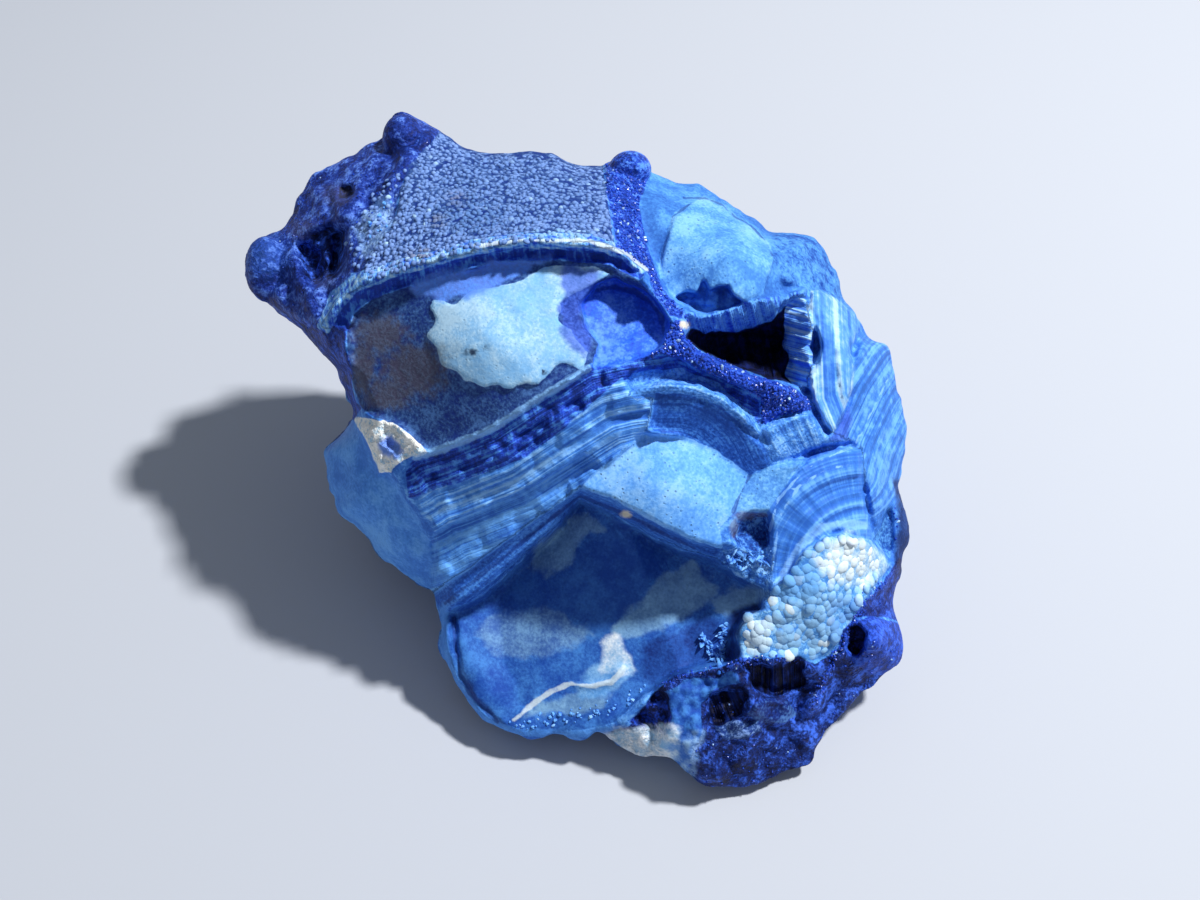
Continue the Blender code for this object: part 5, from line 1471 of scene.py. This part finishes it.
def patternMix(shader):
    # each pattern times its share at the point, added up and widened about the middle to run from 0 to 1
    face = shader.attribute("face", "Vector")
    u, v = shader.part(face, 0), shader.part(face, 1)
    layer, along = shader.attribute("layer"), shader.attribute("along")
    spaces = [shader.join(layer * turns, u * lengthwise, v * lengthwise)
              for turns, lengthwise in (layered["bands"], layered["lines"])]
    turns, lengthwise = layered["fibres"]
    spaces.append(shader.join(along * turns, layer * lengthwise, 0.0))
    large = shader.join(*(shader.noise(1, 2, space) for space in spaces))
    small = shader.join(*(shader.mottling(name) for name in mottled))
    mixed = (shader.dot(large, shader.attribute("largeShares", "Vector"))
             + shader.dot(small, shader.attribute("smallShares", "Vector")) + shader.attribute("cobble"))
    return shader.step(*patternSpan, mixed)


def ramp(shader, value, names):
    # the colours of a list of tones, evenly spaced as the value goes from 0 to 1
    colours = [tone(name) for name in names.split()]
    if len(colours) == 1:
        return colours[0]
    if len(colours) == 2:
        return shader.mix(value, *colours)
    places = np.linspace(*rampEnds, len(colours))
    return shader.node("ShaderNodeValToRGB", dict(stops=list(zip(places, colours))), {0: value})


# Where a layer of the finish begins and is whole, and how ragged its edge is: an area's and a tint's in mm, a
# line's as a share of its width and a spot's as a share of its reach
edges = dict(area=(-0.07, 0.07, 0.3), tint=(-0.4, 0.4, 0.9), line=(-0.1, 0.5, 1.2), spot=(-0.05, 0.6, 1.1))
edgeSize, edgeDetail = 0.8, 4    # of the noise that makes them ragged
pits = dict(spacing=0.5, size=(0.1, 0.3), patches=(0.44, 0.6), darkness=0.4, depth=0.06)
speckle = dict(span=(0.25, 0.75), least=0.94, range=0.12, depth=0.012)
backCrust = dict(span=(0.44, 0.66), size=5, detail=7, ruggedness=0.65, aboveBase=(0.02, 0.6))


def layOver(shader, colour, value, kind, name, names, share=1):
    # a layer of the finish over the colour so far, where its attribute plus fine noise is past its edge
    low, high, raggedness = edges[kind]
    ragged = shader.once(kind, lambda: (shader.noise(edgeSize, edgeDetail) - 0.5) * raggedness)
    cover = shader.step(low, high, shader.attribute(name) + ragged)
    return shader.mix(cover * share if share < 1 else cover, colour, ramp(shader, value, names))


def noduleMaterial():
    # back first, then every area over it, then tints, lines and spots; one bump takes the fine relief
    shader = Shader("azurite")
    value = patternMix(shader)
    crust = shader.step(*backCrust["span"], shader.noise(
        backCrust["size"], backCrust["detail"], ruggedness=backCrust["ruggedness"]))
    colour = shader.mix(crust, *(ramp(shader, value, backTones[name]) for name in ("domes", "crust")))
    base = 1 - shader.step(*backCrust["aboveBase"], shader.part(shader.point, 2))
    colour = shader.mix(base, colour, ramp(shader, value, backTones["base"]))
    for name in areas:
        colour = layOver(shader, colour, value, "area", name, finishes[name]["tones"])
    for kind, marks in (("tint", tints), ("line", lines), ("spot", spots)):
        for name, (names, share, places) in marks.items():
            colour = layOver(shader, colour, value, kind, name, names, share)
    grit = shader.mottling("grit")
    # the pits are sunk by the bump and also darkened in the colour, as painted shade in them; the speckle from
    # the grit is tone at random
    pitted = ((1 - shader.step(*pits["size"], shader.cells(pits["spacing"])))
              * shader.step(*pits["patches"], shader.mottling("crumb")) * shader.attribute("pitted"))
    shade = shader.step(*speckle["span"], grit) * speckle["range"] + speckle["least"]
    shade = shade - pitted * pits["darkness"]
    colour = shader.mix(1.0, colour, shader.join(shade, shade, shade), "MULTIPLY")
    lift = value * shader.attribute("relief") + grit * speckle["depth"] - pitted * pits["depth"]
    return shader.finish(colour, shader.attribute("matte"), lift)


grains = dict(span=(-0.5, 0.9), mottling=0.9, mottleSize=0.35, variety=0.7, depth=0.05, depthSize=0.3,
              tipEdge=0.05)


def grainMaterial(name, low, high, roughness, tips, tip, tinted=(), gloss=0.2):
    # painted shade low between the grains and painted light on their tops: dark to pale by their rise, each a
    # little different by chance, and those whose chance is past the tips in a tone of their own
    shader = Shader(name)
    rise, chance = shader.attribute("rise"), shader.attribute("chance")
    varied = (shader.noise(grains["mottleSize"]) - 0.5) * grains["mottling"]
    varied = varied + (chance - 0.5) * grains["variety"]
    colour = shader.mix(shader.step(*grains["span"], rise + varied), tone(low), tone(high))
    colour = shader.mix(shader.step(tips, tips + grains["tipEdge"], chance), colour, tone(tip))
    for u, v, radiusU, radiusV, shown, share in tinted:
        colour = shader.mix(shader.spot(u, v, radiusU, radiusV) * share, colour, tone(shown))
    return shader.finish(colour, roughness, shader.noise(grains["depthSize"]) * grains["depth"], gloss)


stage = dict(
    floor=1.5, floorRoughness=0.9, lens=45.0, sensor=36.0, nearest=0.005, key=(0.47, 0.1, 0.877),
    keyAway=0.55, keySize=0.04, keyPower=4.5, world=(0.80, 0.88, 1.0), worldStrength=0.3)


def makeStage():
    # a pale floor, the camera at the eye, one soft lamp and an even surround
    half = stage["floor"]
    mesh = bpy.data.meshes.new("floor")
    corners = [(-half, -half, 0), (half, -half, 0), (half, half, 0), (-half, half, 0)]
    mesh.from_pydata(corners, [], [(0, 1, 2, 3)])
    floor = bpy.data.objects.new("floor", mesh)
    bpy.context.collection.objects.link(floor)
    shader = Shader("paleFloor")
    mesh.materials.append(shader.finish(tone("floor"), stage["floorRoughness"]))

    camera = bpy.data.objects.new("camera", bpy.data.cameras.new("camera"))
    camera.data.lens, camera.data.sensor_width = stage["lens"], stage["sensor"]
    camera.data.clip_start = stage["nearest"]
    camera.location = Vector((faceCentre + eyeDistance * toEye) * mm)
    camera.rotation_euler = Vector(-toEye).to_track_quat("-Z", "Y").to_euler()
    bpy.context.collection.objects.link(camera)
    bpy.context.scene.camera = camera

    key = bpy.data.objects.new("keyLight", bpy.data.lights.new("keyLight", "AREA"))
    key.data.energy, key.data.size = stage["keyPower"], stage["keySize"]
    direction = Vector(stage["key"]).normalized()
    key.location = Vector(faceCentre * mm) + direction * stage["keyAway"]
    key.rotation_euler = (-direction).to_track_quat("-Z", "Y").to_euler()
    bpy.context.collection.objects.link(key)

    world = bpy.data.worlds.new("softLight")
    world.use_nodes = True
    world.node_tree.nodes["Background"].inputs["Color"].default_value = (*stage["world"], 1)
    world.node_tree.nodes["Background"].inputs["Strength"].default_value = stage["worldStrength"]
    bpy.context.scene.world = world
    bpy.context.scene.view_settings.view_transform = "Standard"


def dress(piece, material):
    # the piece gets its material and its body, and the node it replaces is hidden
    piece.data.materials.clear()
    piece.data.materials.append(material)
    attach(piece, "root")
    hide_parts(node)
    print(piece.name, "has", countTriangles(piece.data), "triangles")


nodule = makeNodule()
markNodule(nodule)
dress(nodule, noduleMaterial())
dress(makePebbles(), grainMaterial("pebbles", **pebbles["look"]))
dress(makeBeads(), grainMaterial("beads", **beads["look"]))
dress(makeCrystals(), grainMaterial("crystals", **crystals["look"]))
dress(makeCrumbs(), grainMaterial("crumbs", **crumbs["look"]))
makeStage()
